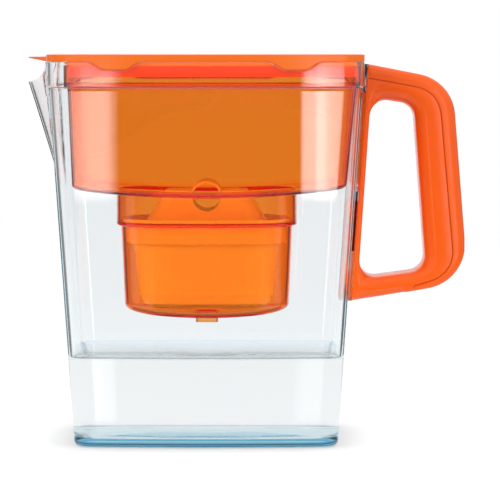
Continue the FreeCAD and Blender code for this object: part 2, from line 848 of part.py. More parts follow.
def body_sections(name, inset, top):
    """Draw the sections of the cartridge's body from its mouth down to its rounded bottom."""
    mouth = cartridge_rim.inset(S.body_inset)
    bottom = cartridge_bottom + inset
    bulge = S.body_round
    waist = mouth.inset(S.body_draft)
    steps = [
        (mouth, top),
        (mouth, trough_floor),
        (waist, bottom + bulge),
        (waist.inset(bulge * BULGE_SHARE), bottom + bulge * BULGE_SHARE),
        (waist.inset(bulge), bottom),
    ]
    return [outline.inset(inset).sketch(f"{name}_{number}", z) for number, (outline, z) in enumerate(steps)]


def body_solid(name, inset, top):
    """Make the cartridge's body as a straight mouth over a smooth rounded bottom."""
    sections = body_sections(name, inset, top)
    mouth = loft(f"{name}_mouth", sections[1], sections[0])
    bowl = loft(f"{name}_bowl", *sections[1:])
    return fuse(name, mouth, bowl)


def make_cartridge():
    """Make the filter cartridge: cup, cap with pull ring, two screens and the packed bed."""
    wall = S.cartridge_wall
    rim_low = cartridge_rim.inset(S.trough_draft)
    lip_top = seat_height + S.seat_lip_height
    rim = loft(
        "cup_rim_outside",
        rim_low.sketch("cup_rim_low", trough_floor),
        cartridge_rim.sketch("cup_rim_high", seat_height),
    )
    rim_lip = prism("cup_lip", cartridge_rim.inset(-S.seat_lip), seat_height, lip_top)
    trough = loft(
        "cup_trough",
        rim_low.inset(wall).sketch("cup_trough_low", cap_seat),
        cartridge_rim.inset(wall).sketch("cup_trough_high", lip_top + OVERSHOOT),
    )
    outlets = []
    for index in range(OUTLET_SLOTS):
        x = S.outlet_slot_pitch * (index - (OUTLET_SLOTS - 1) / 2)
        name = f"cup_outlet_{index}"
        length, width = S.outlet_slot_width, S.outlet_slot_length
        outlets.append(box(name, x, 0, cartridge_bottom - OVERSHOOT, length, width, wall + OVERSHOOT * 2))
    cup = cut(
        "cartridge_cup",
        fuse("cup_outside", body_solid("cup_body", ZERO, cap_seat), rim, rim_lip),
        body_solid("cup_inside", wall, cap_seat + OVERSHOOT),
        trough,
        *outlets,
    )
    return [cup, make_cap(), *make_filling()]


def make_cap():
    """Make the domed cap with the tunnel ring, inlet slots and end vents."""
    wall = S.cartridge_wall
    dome_low = cap_seat + S.cap_flange
    dome_base = cartridge_rim.inset(S.dome_inset)
    dome_top = replace(
        cartridge_rim,
        half_length=S.dome_top_length / 2,
        half_width=S.dome_top_width / 2,
        corner=S.dome_top_corner,
    )
    dome_high = cap_seat + S.dome_height
    outside = loft(
        "cap_dome_outside",
        dome_base.sketch("cap_dome_low", cap_seat),
        dome_top.sketch("cap_dome_high", dome_high),
    )
    inside = loft(
        "cap_dome_inside",
        dome_base.inset(wall).sketch("cap_hollow_low", cap_seat - OVERSHOOT),
        dome_top.inset(wall).sketch("cap_hollow_high", dome_high - wall),
    )
    ring_axis = dome_high - S.ring_radius + S.ring_rise
    ring_length = S.dome_top_width + S.ring_overhang * 2
    ring = cross_cylinder("cap_ring", S.ring_radius, ring_axis, ring_length)
    tunnel = cross_cylinder("cap_tunnel", S.ring_radius - S.ring_wall, ring_axis, beyond)
    openings = []
    for side, label in ((-1, "left"), (1, "right")):
        for index in range(INLET_SLOTS):
            y = S.inlet_slot_pitch * (index - (INLET_SLOTS - 1) / 2)
            x = S.inlet_slot_offset * side
            slot = (S.inlet_slot_length, S.inlet_slot_width, wall + OVERSHOOT * 2)
            openings.append(box(f"cap_inlet_{label}_{index}", x, y, dome_high - wall - OVERSHOOT, *slot))
        vent_x = (dome_base.half_length - wall) * side
        vent = (S.end_vent_reach, S.end_vent_width, S.end_vent_height)
        openings.append(box(f"cap_vent_{label}", vent_x, 0, dome_low, *vent))
    hollow = cut("cap_hollow", inside, ring)
    return cut("cartridge_cap", fuse("cap_outside", rim_plate(), outside, ring), hollow, tunnel, *openings)


def rim_plate():
    """Make the flange on which the cap sits in the cup's trough."""
    outline = cartridge_rim.inset(S.trough_draft + S.cartridge_wall + S.cap_flange_inset)
    return prism("cap_flange_plate", outline, cap_seat, cap_seat + S.cap_flange)


def make_filling():
    """Make the two screens and the packed bed between them."""
    gap = S.screen_clearance
    wall = S.cartridge_wall
    floor = cartridge_bottom + wall
    mouth = cartridge_rim.inset(S.body_inset + wall + gap)
    inlet = prism("inlet_screen", mouth, cap_seat - S.screen_thickness, cap_seat)
    bottom_outline = cartridge_rim.inset(S.body_inset + S.body_draft + S.body_round + wall + gap)
    outlet = prism("outlet_screen", bottom_outline, floor, floor + S.screen_thickness)
    bed_top = cap_seat - S.screen_thickness - gap
    bed_low = floor + S.screen_thickness + gap
    filling = body_solid("bed_filling", wall + gap, bed_top)
    depth = bed_low - cartridge_bottom
    below = box("bed_floor", 0, 0, cartridge_bottom, S.cartridge_length, S.cartridge_width, depth)
    bed = cut("sorbent_bed", filling, below)
    return [inlet, outlet, bed]


def check(objects):
    """Stop if any object of the document failed or any piece is empty or broken."""
    for obj in doc.Objects:
        if {"Invalid", "Error"} & set(obj.State):
            raise RuntimeError(f"{obj.Name} failed: {obj.State}")
    for obj in objects:
        if obj.Shape.isNull() or not obj.Shape.isValid() or obj.Shape.Volume <= 0:
            raise RuntimeError(f"{obj.Label} has no valid solid")
        if len(obj.Shape.Solids) != 1:
            raise RuntimeError(f"{obj.Label} has {len(obj.Shape.Solids)} solids")


def main():
    """Build every piece, check the document and write one file for each piece."""
    pieces = [make_jug(), *make_handle(), make_lid(), make_funnel(), *make_cartridge()]
    doc.recompute()
    check(pieces)
    os.makedirs("parts", exist_ok=True)
    for piece in pieces:
        piece.Shape.exportStep(f"parts/{piece.Label}.step")
        box_size = piece.Shape.BoundBox
        print(f"{piece.Label}: {piece.Shape.Volume / 1000:.1f} cm3, {box_size}")


main()
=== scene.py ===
"""A water filter pitcher in a plain white studio.

It has a clear jug with water in it, an orange handle, funnel and lid, and a white filter cartridge.
"""

import logging
import math
from collections.abc import Callable
from dataclasses import astuple, dataclass, field, replace
from enum import Enum
from typing import ClassVar

import bmesh
import bpy
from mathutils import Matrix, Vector


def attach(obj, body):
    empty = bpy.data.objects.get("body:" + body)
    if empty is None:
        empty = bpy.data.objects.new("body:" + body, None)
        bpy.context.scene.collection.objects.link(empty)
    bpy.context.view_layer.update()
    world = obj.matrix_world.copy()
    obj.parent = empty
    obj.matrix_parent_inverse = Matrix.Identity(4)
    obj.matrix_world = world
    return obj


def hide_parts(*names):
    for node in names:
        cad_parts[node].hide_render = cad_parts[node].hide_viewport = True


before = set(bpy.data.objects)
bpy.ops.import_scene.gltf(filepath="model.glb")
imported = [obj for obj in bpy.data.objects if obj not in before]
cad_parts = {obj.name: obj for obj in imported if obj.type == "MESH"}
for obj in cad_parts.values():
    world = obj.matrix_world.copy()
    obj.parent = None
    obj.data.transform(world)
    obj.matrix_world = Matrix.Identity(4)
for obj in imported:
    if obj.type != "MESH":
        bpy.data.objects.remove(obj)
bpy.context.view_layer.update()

log = logging.getLogger("pitcher")
SHARP_ANGLE = 32.0
SAME_PLACE = 1e-6
MERGE_DISTANCE = 1e-7
PARALLEL = 1e-12
TOUCHING = "touching"
NOISE_SPAN = (0.3, 0.7)
Colour = tuple[float, float, float]
Socket = bpy.types.NodeSocket


class Body(Enum):
    """The moving bodies of the pitcher."""

    JUG = "jug"
    FUNNEL = "funnel"
    LID = "lid"
    CARTRIDGE = "cartridge"


class Slot(Enum):
    """The finishes that the part's record names."""

    CLEAR = "clear_plastic"
    ORANGE = "orange_plastic"
    ORANGE_CLEAR = "orange_clear"
    WHITE = "white_plastic"
    SCREEN = "screen_fabric"
    GRANULES = "sorbent_granules"


def shade(red: int, green: int, blue: int) -> Colour:
    """Turn a screen colour into linear light.

    Args:
        red: Red from 0 to 255.
        green: Green from 0 to 255.
        blue: Blue from 0 to 255.

    Returns:
        The same colour as linear numbers from 0 to 1.
    """

    def one(level: int) -> float:
        """Turn one level into linear light."""
        part = level / 255
        return part / 12.92 if part <= 0.04045 else ((part + 0.055) / 1.055) ** 2.4

    return one(red), one(green), one(blue)


class NodeBoard:
    """A node tree with short calls that add nodes and join them."""

    def __init__(self, tree: bpy.types.NodeTree) -> None:
        """Start from an empty tree."""
        self.tree = tree
        self.tree.nodes.clear()

    def feed(self, end: Socket, value: object) -> None:
        """Give an input what it needs.

        Args:
            end: The input.
            value: An output to join to it, or else a number or a colour.
        """
        if isinstance(value, Socket):
            self.tree.links.new(value, end)
        else:
            end.default_value = (*value, 1.0) if end.type == "RGBA" else value

    def add(
        self, kind: str, values: dict[str | int, object] | None = None, **settings: object
    ) -> bpy.types.Node:
        """Add a node.

        Args:
            kind: The node's type without its prefix.
            values: Outputs, numbers and colours for its inputs, by name or number.
            **settings: Values for the node's own settings.

        Returns:
            The new node.
        """
        node = self.tree.nodes.new(f"ShaderNode{kind}")
        for key, value in settings.items():
            setattr(node, key, value)
        for key, value in (values or {}).items():
            self.feed(node.inputs[key], value)
        return node

    def calculate(self, operation: str, *values: object, clamp: bool = False) -> Socket:
        """Work something out from numbers.

        Args:
            operation: The name of the operation.
            *values: Outputs or numbers to work with.
            clamp: Whether the result is kept between 0 and 1.

        Returns:
            The result.
        """
        node = self.add("Math", dict(enumerate(values)), operation=operation, use_clamp=clamp)
        return node.outputs[0]

    def remap(
        self,
        value: Socket,
        low: object,
        high: object,
        start: float = 0.0,
        stop: float = 1.0,
        **settings: object,
    ) -> Socket:
        """Map a range of numbers onto another.

        Args:
            value: The number to map.
            low: Result at the start and before it.
            high: Result at the stop and past it.
            start: The number where the range starts.
            stop: The number where it stops.
            **settings: Values for the node's own settings.

        Returns:
            The mapped number.
        """
        ends = {"Value": value, "From Min": start, "From Max": stop, "To Min": low, "To Max": high}
        return self.add("MapRange", ends, **settings).outputs["Result"]

    def mix(self, amount: Socket, first: object, second: object) -> Socket:
        """Blend two colours.

        Args:
            amount: How much of the second colour shows.
            first: Colour at 0, or an output that gives it.
            second: Colour at 1, or an output that gives it.

        Returns:
            The blended colour.
        """
        return self.add("Mix", {0: amount, 6: first, 7: second}, data_type="RGBA").outputs[2]

    def place(self) -> Socket:
        """Return the place in the piece's own space."""
        return self.add("TexCoord").outputs["Object"]

    def noise(self, scale: float, detail: float = 3.0) -> Socket:
        """Add a noise in the piece's own space.

        Args:
            scale: Waves in a metre.
            detail: How many finer layers it has.

        Returns:
            The noise from 0 to 1.
        """
        values = {"Vector": self.place(), "Scale": scale, "Detail": detail}
        return self.add("TexNoise", values).outputs["Fac"]

    def bump(self, height: Socket, strength: float, depth: float) -> Socket:
        """Turn heights into a bumped normal.

        Args:
            height: The height pattern.
            strength: Share of the bump that shows.
            depth: Height of the bump in metres.

        Returns:
            The bumped normal.
        """
        values = {"Height": height, "Strength": strength, "Distance": depth}
        return self.add("Bump", values).outputs["Normal"]


def new_board(name: str) -> tuple[bpy.types.Material, NodeBoard, bpy.types.Node]:
    """Start a material.

    Args:
        name: The material's name.

    Returns:
        The material, its node board and its output node.
    """
    material = bpy.data.materials.new(name)
    material.use_nodes = True
    board = NodeBoard(material.node_tree)
    return material, board, board.add("OutputMaterial")


@dataclass(frozen=True)
class MouldedPlastic:
    """Opaque moulded plastic: a faint flow in the colour, a satin gloss and a fine grain."""

    name: str
    colour: Colour
    deep: Colour
    gloss: tuple[float, float]
    ior: float = 1.5
    specular: float = 0.4
    flow_scale: float = 14.0
    gloss_scale: float = 126.0
    grain_scale: float = 1400.0
    grain_detail: float = 2.0
    grain_strength: float = 0.35
    grain_depth: float = 0.000012

    def material(self) -> bpy.types.Material:
        """Make the material.

        Returns:
            The new material.
        """
        material, board, output = new_board(self.name)
        grain = board.noise(self.grain_scale, self.grain_detail)
        surface = board.add("BsdfPrincipled", {
            "IOR": self.ior,
            "Specular IOR Level": self.specular,
            "Base Color": board.mix(board.noise(self.flow_scale), self.colour, self.deep),
            "Roughness": board.remap(board.noise(self.gloss_scale), *self.gloss, *NOISE_SPAN),
            "Normal": board.bump(grain, self.grain_strength, self.grain_depth),
        })
        board.feed(output.inputs["Surface"], surface.outputs["BSDF"])
        return material


@dataclass(frozen=True)
class ClearPlastic:
    """See-through plastic or water that takes its tint from the depth of the wall, and painted shade from a
    level band.

    Attributes:
        name: The material's name.
        faint: Colour that clouds the surface here and there.
        ior: How strongly the surface bends light.
        absorb: Colour that light takes on inside.
        density: How fast light takes it on.
        roughness: How rough the surface is.
        touching_ior: As ior, for faces that touch another clear piece.
        band: Colour of a level band of painted shade on the surface.
        painted_shade_height: Height of the painted shade band's middle.
        painted_shade_half: Half of the painted shade band's own height.
        cloud_scale: Waves of the clouding in a metre.
        ripple_scale: Waves of the surface in a metre.
        ripple_detail: How many finer layers the waves have.
        ripple_strength: Share of the waves that shows.
        ripple_depth: Height of the waves in metres.
        passed: Share of a lamp's light that passes through the surface.
    """

    name: str
    faint: Colour
    ior: float
    absorb: Colour
    density: float
    roughness: float = 0.0
    touching_ior: float | None = None
    band: Colour | None = None
    painted_shade_height: float = 0.0
    painted_shade_half: float = 0.0
    cloud_scale: float = 10.0
    ripple_scale: float = 20.0
    ripple_detail: float = 1.0
    ripple_strength: float = 0.25
    ripple_depth: float = 0.00002
    passed: Colour = (0.99, 0.99, 0.99)

    def colour(self, board: NodeBoard) -> Socket:
        """Add the surface's colour, with the band of painted shade where there is one.

        Args:
            board: The material's node board.

        Returns:
            The colour.
        """
        colour = board.mix(board.noise(self.cloud_scale), (1.0, 1.0, 1.0), self.faint)
        if self.band is None:
            return colour
        # Painted shade: within the band the colour turns to the band's darker tint.
        height = board.add("SeparateXYZ", {"Vector": board.place()}).outputs["Z"]
        in_painted_shade = board.calculate("COMPARE", height, self.painted_shade_height, self.painted_shade_half)
        return board.mix(in_painted_shade, colour, self.band)

    def material(self) -> bpy.types.Material:
        """Make the material, which bends light less where the piece's faces touch another clear piece.

        Returns:
            The new material.
        """
        material, board, output = new_board(self.name)
        ripple = board.noise(self.ripple_scale, self.ripple_detail)
        surface = board.add("BsdfPrincipled", {
            "IOR": self.ior,
            "Roughness": self.roughness,
            "Transmission Weight": 1.0,
            "Base Color": self.colour(board),
            "Normal": board.bump(ripple, self.ripple_strength, self.ripple_depth),
        })
        if self.touching_ior is not None:
            touching = board.add("Attribute", attribute_name=TOUCHING).outputs["Fac"]
            board.feed(surface.inputs["IOR"], board.remap(touching, self.ior, self.touching_ior))
        from_lamp = board.add("LightPath").outputs["Is Shadow Ray"]
        clear = board.add("BsdfTransparent", {"Color": self.passed})
        pick = board.add("MixShader", {0: from_lamp, 1: surface.outputs["BSDF"], 2: clear.outputs["BSDF"]})
        inside = board.add("VolumeAbsorption", {"Color": self.absorb, "Density": self.density})
        board.feed(output.inputs["Surface"], pick.outputs[0])
        board.feed(output.inputs["Volume"], inside.outputs["Volume"])
        return material


@dataclass(frozen=True)
class WovenScreen:
    """Woven mesh: threads one way and the other, seen as bumps and a change of shade."""

    name: str
    thread: Colour
    gap: Colour
    weave_scale: float = 79.5775
    roughness: float = 0.7
    thread_strength: float = 0.6
    thread_depth: float = 0.0002

    def material(self) -> bpy.types.Material:
        """Make the material.

        Returns:
            The new material.
        """
        material, board, output = new_board(self.name)
        values = {"Vector": board.place(), "Scale": self.weave_scale}
        waves = [board.add("TexWave", values, bands_direction=way).outputs["Fac"] for way in ("X", "Y")]
        weave = board.calculate("MAXIMUM", *waves)
        surface = board.add("BsdfPrincipled", {
            "Roughness": self.roughness,
            "Base Color": board.mix(weave, self.gap, self.thread),
            "Normal": board.bump(weave, self.thread_strength, self.thread_depth),
        })
        board.feed(output.inputs["Surface"], surface.outputs["BSDF"])
        return material


@dataclass(frozen=True)
class GranuleBed:
    """Packed granules: dark grains among pale beads."""

    name: str
    dark: Colour
    pale: Colour
    grains: float = 900.0
    roughness: float = 0.8
    grain_strength: float = 0.9
    grain_depth: float = -0.0006

    def material(self) -> bpy.types.Material:
        """Make the material.

        Returns:
            The new material.
        """
        material, board, output = new_board(self.name)
        cells = board.add("TexVoronoi", {"Vector": board.place(), "Scale": self.grains}).outputs
        chance = board.add("SeparateColor", {"Color": cells["Color"]}).outputs["Red"]
        surface = board.add("BsdfPrincipled", {
            "Roughness": self.roughness,
            "Base Color": board.mix(chance, self.dark, self.pale),
            "Normal": board.bump(cells["Distance"], self.grain_strength, self.grain_depth),
        })
        board.feed(output.inputs["Surface"], surface.outputs["BSDF"])
        return material


ORANGE = MouldedPlastic(
    name="orange_gloss", colour=(0.9, 0.112, 0.006), deep=(0.86, 0.1, 0.005), gloss=(0.14, 0.24),
    specular=0.35,
)
LID_ORANGE = replace(ORANGE, name="orange_lid", colour=(0.9, 0.165, 0.012), deep=(0.86, 0.15, 0.01))
WHITE = MouldedPlastic(
    name="white_satin", colour=(0.93, 0.93, 0.925), deep=(0.9, 0.905, 0.905), gloss=(0.3, 0.45)
)
# Painted shade: a dark blue-green band round the foot, from 0.6 to 3.8 mm up, stands in for the dark edge
# that the thick foot gives by bending light.
CLEAR = ClearPlastic(
    name="clear_wall", faint=(0.985, 0.995, 1.0), ior=1.48, absorb=(0.19, 0.62, 0.76), density=15.0,
    touching_ior=1.11, band=(0.2, 0.52, 0.68), painted_shade_height=0.0022, painted_shade_half=0.0016,
)
# Painted shade: a pale blue band, put at the waterline when the water is built, stands in for the line that
# the water's surface shows by bending light.
WATER = ClearPlastic(
    name="still_water", faint=(0.99, 0.997, 1.0), ior=1.333, absorb=(0.62, 0.56, 0.52), density=2.2,
    touching_ior=1.0, band=(0.8, 0.92, 1.0), painted_shade_half=0.0007, cloud_scale=15.0, ripple_scale=30.0,
)
ORANGE_CLEAR = ClearPlastic(
    name="orange_wall", faint=(1.0, 0.985, 0.96), ior=1.48, absorb=(1.0, 0.668, 0.035), density=1000.0,
    roughness=0.02,
)
SCREEN = WovenScreen("screen_weave", shade(232, 232, 228), shade(150, 152, 150))
GRANULES = GranuleBed("granule_mix", shade(38, 36, 36), shade(196, 186, 168))


@dataclass(frozen=True)
class BowedOutline:
    """A rounded rectangle whose sides and ends bow outwards, seen from above."""

    half_length: float
    half_width: float
    corner: float
    side: float
    end: float
    centre: float = 0.0

    SIDE_STEPS: ClassVar[int] = 84
    CORNER_STEPS: ClassVar[int] = 10
    END_STEPS: ClassVar[int] = 64
    WIDE_END: ClassVar[float] = 1.2
    END_STOPS: ClassVar[tuple[float, ...]] = (
        0.0, 0.0008, 0.0016, 0.0026, 0.0038, 0.0052, 0.0066, 0.0077, 0.0083, 0.0098,
        0.0117, 0.0123, 0.014, 0.016, 0.0182, 0.0206, 0.0232, 0.026, 0.029, 0.0322,
    )

    def inset(self, gap: float) -> "BowedOutline":
        """Return the outline moved inwards by a gap all round."""
        sizes = (self.half_length, self.half_width, self.corner, self.side, self.end)
        return BowedOutline(*(size - gap for size in sizes), self.centre)

    def mix(self, other: "BowedOutline", share: float) -> "BowedOutline":
        """Return an outline part of the way to another one."""
        pairs = zip(astuple(self), astuple(other))
        return BowedOutline(*(first + (second - first) * share for first, second in pairs))

    def shorten(self, gap: float) -> "BowedOutline":
        """Return the outline with its spout end drawn in by a gap."""
        return replace(self, half_length=self.half_length - gap / 2, centre=self.centre + gap / 2)

    def _end_shares(self, half_turn: float) -> list[float]:
        """Return how far along an end's arc its points lie, closer together near the middle.

        Args:
            half_turn: Half the angle of the arc.

        Returns:
            Shares from 0 up to, but without, 1.
        """
        half_steps = self.END_STEPS // 2
        last, reach = self.END_STOPS[-1], self.end * math.sin(half_turn)
        if reach > self.WIDE_END * last:
            rest = half_steps - len(self.END_STOPS) + 1
            outer = [last + (reach - last) * step / rest for step in range(1, rest + 1)]
            across = [*self.END_STOPS, *outer]
        else:
            across = [reach * step / half_steps for step in range(half_steps + 1)]
        turns = [math.asin(place / self.end) / half_turn for place in across]
        return [(1 - turn) / 2 for turn in reversed(turns)] + [(1 + turn) / 2 for turn in turns[1:-1]]

    def _arcs(self) -> list[tuple[float, float, float, float, float, list[float]]]:
        """Work out the outline's eight arcs.

        Returns:
            Centre x and y, radius, start, stop and the shares of the points, for each arc.
        """
        side_y = self.side - self.half_width
        end_x = self.end - self.half_length
        to_side, to_end = self.side - self.corner, self.end - self.corner
        apart = math.hypot(side_y, end_x)
        along = (to_side**2 - to_end**2 + apart**2) / (2 * apart)
        across = math.sqrt(to_side**2 - along**2)
        x = (-along * end_x + across * side_y) / apart
        y = -side_y + (along * side_y + across * end_x) / apart
        end_turn = math.atan2(y, x + end_x)
        side_turn = math.atan2(y + side_y, x)
        half = math.pi
        ends = self._end_shares(end_turn)
        sides = [step / self.SIDE_STEPS for step in range(self.SIDE_STEPS)]
        corners = [step / self.CORNER_STEPS for step in range(self.CORNER_STEPS)]
        return [
            (-end_x, 0, self.end, -end_turn, end_turn, ends),
            (x, y, self.corner, end_turn, side_turn, corners),
            (0, -side_y, self.side, side_turn, half - side_turn, sides),
            (-x, y, self.corner, half - side_turn, half - end_turn, corners),
            (end_x, 0, self.end, half - end_turn, half + end_turn, ends),
            (-x, -y, self.corner, half + end_turn, half + side_turn, corners),
            (0, side_y, self.side, half + side_turn, 2 * half - side_turn, sides),
            (x, -y, self.corner, 2 * half - side_turn, 2 * half - end_turn, corners),
        ]

    def points(self) -> list[tuple[float, float]]:
        """Walk along the outline, counter-clockwise from the handle's end.

        Returns:
            The points.
        """
        places = []
        for x, y, radius, start, stop, shares in self._arcs():
            for share in shares:
                turn = start + (stop - start) * share
                places.append((x + radius * math.cos(turn), y + radius * math.sin(turn)))
        return places


@dataclass(frozen=True)
class Level:
    """One ring of a lofted piece.

    Attributes:
        outline: The ring's outline.
        height: Its height in metres.
        dish: How fast it rises along its length, in metres over square metres.
        scale: How far it is drawn in towards its middle.
        push: Share of the spout's or beak's push that it takes.
        drop: Share of the drop at the finger tabs that it takes.
        depth: How far inside the outer skin it lies at the spout.
    """

    outline: BowedOutline
    height: float
    dish: float = 0.0
    scale: float = 1.0
    push: float = 0.0
    drop: float = 0.0
    depth: float = 0.0

    def mix(self, other: "Level", share: float) -> "Level":
        """Find a level part of the way to another one.

        Args:
            other: The other level.
            share: How far towards it.

        Returns:
            The level between.
        """
        names = ("height", "dish", "scale", "push", "drop", "depth")
        pairs = {name: (getattr(self, name), getattr(other, name)) for name in names}
        values = {name: first * (1 - share) + second * share for name, (first, second) in pairs.items()}
        return Level(self.outline.mix(other.outline, share), **values)

    def run_to(self, other: "Level") -> float:
        """Return the distance to another level, measured across the width and up."""
        across = self.outline.half_width * self.scale - other.outline.half_width * other.scale
        return math.hypot(across, self.height - other.height)

    def places(self) -> list[Vector]:
        """Work out the ring's points.

        Returns:
            The points in order.
        """
        middle = self.outline.centre
        result = []
        for x, y in self.outline.points():
            along, across = x * self.scale + middle, y * self.scale
            result.append(Vector((along, across, self.height + self.dish * along * along)))
        return result


Bend = Callable[[Vector, Level], Vector]


@dataclass
class Profile:
    """The path of a lofted piece's wall: levels with rounded corners, in order along the wall."""

    MOST_ROUND: ClassVar[float] = 0.45

    round_steps: int = 5
    corners: list[tuple[Level, float, int]] = field(default_factory=list)

    def add(self, level: Level, radius: float = 0.0, cuts: int = 1) -> "Profile":
        """Add a corner.

        Args:
            level: The corner's level.
            radius: How far back from the corner its rounding starts.
            cuts: How many bands the run to the next corner has.

        Returns:
            The profile itself.
        """
        self.corners.append((level, radius, cuts))
        return self

    def levels(self, closed: bool) -> list[Level]:
        """Return every level along the path, with the corners rounded.

        Args:
            closed: Whether the last corner leads back to the first.

        Returns:
            The levels in order.
        """
        result = []
        count = len(self.corners)
        for index, (level, radius, cuts) in enumerate(self.corners):
            before, after = self.corners[index - 1][0], self.corners[(index + 1) % count][0]
            at_end = not closed and index in (0, count - 1)
            leave = level
            if radius and not at_end:
                arrive = level.mix(before, min(radius / level.run_to(before), self.MOST_ROUND))
                leave = level.mix(after, min(radius / level.run_to(after), self.MOST_ROUND))
                for step in range(self.round_steps):
                    share = step / self.round_steps
                    result.append(arrive.mix(level, share).mix(level.mix(leave, share), share))
            result.append(leave)
            for cut in range(1, cuts):
                result.append(leave.mix(after, cut / cuts))
        return result


def extrude_ring(mesh: bmesh.types.BMesh, ring: list[bmesh.types.BMVert]) -> list[bmesh.types.BMVert]:
    """Extrude a closed ring of vertices.

    Args:
        mesh: The mesh that holds the ring.
        ring: The ring's vertices in order.

    Returns:
        The new ring's vertices in the same order.
    """
    edges = [mesh.edges.get(pair) for pair in zip(ring, ring[1:] + ring[:1])]
    made = bmesh.ops.extrude_edge_only(mesh, edges=edges)["geom"]
    fresh = {part for part in made if isinstance(part, bmesh.types.BMVert)}
    partner = {}
    for vertex in fresh:
        for edge in vertex.link_edges:
            if edge.other_vert(vertex) not in fresh:
                partner[edge.other_vert(vertex)] = vertex
    return [partner[vertex] for vertex in ring]


def skin(rings: list[list[Vector]], closed: bool) -> bmesh.types.BMesh:
    """Extrude a ring from place to place.

    Args:
        rings: The points of each ring, all with the same count.
        closed: Whether the last ring joins the first; otherwise both ends are capped.

    Returns:
        The finished mesh.
    """
    mesh = bmesh.new()
    ring = bmesh.ops.create_circle(mesh, cap_ends=False, segments=len(rings[0]), radius=1.0)["verts"]
    first = ring
    for number, places in enumerate(rings + rings[:1] if closed else rings):
        if number:
            ring = extrude_ring(mesh, ring)
        for vertex, place in zip(ring, places):
            vertex.co = place
    if closed:
        bmesh.ops.remove_doubles(mesh, verts=mesh.verts, dist=MERGE_DISTANCE)
    else:
        for end in (first, ring):
            edges = [mesh.edges.get(pair) for pair in zip(end, end[1:] + end[:1])]
            bmesh.ops.edgeloop_fill(mesh, edges=edges)
    return mesh


def loft(profile: Profile, closed: bool, bend: Bend | None = None) -> bmesh.types.BMesh:
    """Loft a piece along its profile.

    Args:
        profile: The path of its wall.
        closed: Whether the path leads back to its start.
        bend: Moves each point to its final place.

    Returns:
        The finished mesh.
    """
    rings = []
    for level in profile.levels(closed):
        places = level.places()
        rings.append([bend(place, level) for place in places] if bend else places)
    return skin(rings, closed)


def ramp(value: float, low: float, high: float) -> float:
    """Return 0 below low and 1 above high, with an even slope between."""
    return min(max((value - low) / (high - low), 0.0), 1.0)


def make_piece(
    name: str, mesh: bmesh.types.BMesh, material: bpy.types.Material, body: Body, slot: Slot
) -> bpy.types.Object:
    """Turn a mesh into a piece of the pitcher.

    Args:
        name: The piece's name.
        mesh: Its finished mesh.
        material: Its material.
        body: The body that it moves with.
        slot: The record's finish for the piece; not used.

    Returns:
        The new object.
    """
    bmesh.ops.recalc_face_normals(mesh, faces=mesh.faces)
    data = bpy.data.meshes.new(name)
    mesh.to_mesh(data)
    mesh.free()
    data.materials.append(material)
    data.shade_smooth()
    data.set_sharp_from_angle(angle=math.radians(SHARP_ANGLE))
    piece = bpy.data.objects.new(name, data)
    bpy.context.scene.collection.objects.link(piece)
    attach(piece, body.value)
    log.info("%s: %d faces on body %s", name, len(data.polygons), body.value)
    return piece


def dress(node: str, material: bpy.types.Material) -> None:
    """Give a node of the frame its material.

    Args:
        node: The node's name.
        material: The material.
    """
    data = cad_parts[node].data
    data.materials.clear()
    data.materials.append(material)
    log.info("%s: dressed in %s", node, material.name)


@dataclass(frozen=True)
class FingerTabs:
    """The two finger tabs on each long side of the lid, and the notches for them in the rim."""

    offset: float = 0.0578
    root: float = 0.0157
    tip: float = 0.00685
    drop: float = 0.0052

    def depth(self, along: float, clearance: float = 0.0) -> float:
        """Return how far a tab hangs down at a place along the lid.

        Args:
            along: The place along X.
            clearance: How much larger the notch is than the tab.

        Returns:
            The drop in metres.
        """
        away = abs(abs(along) - self.offset) - clearance
        share = ramp(away, self.root, self.tip)
        eased = share * share * (3 - 2 * share)
        return (share + eased) / 2 * (self.drop + clearance)


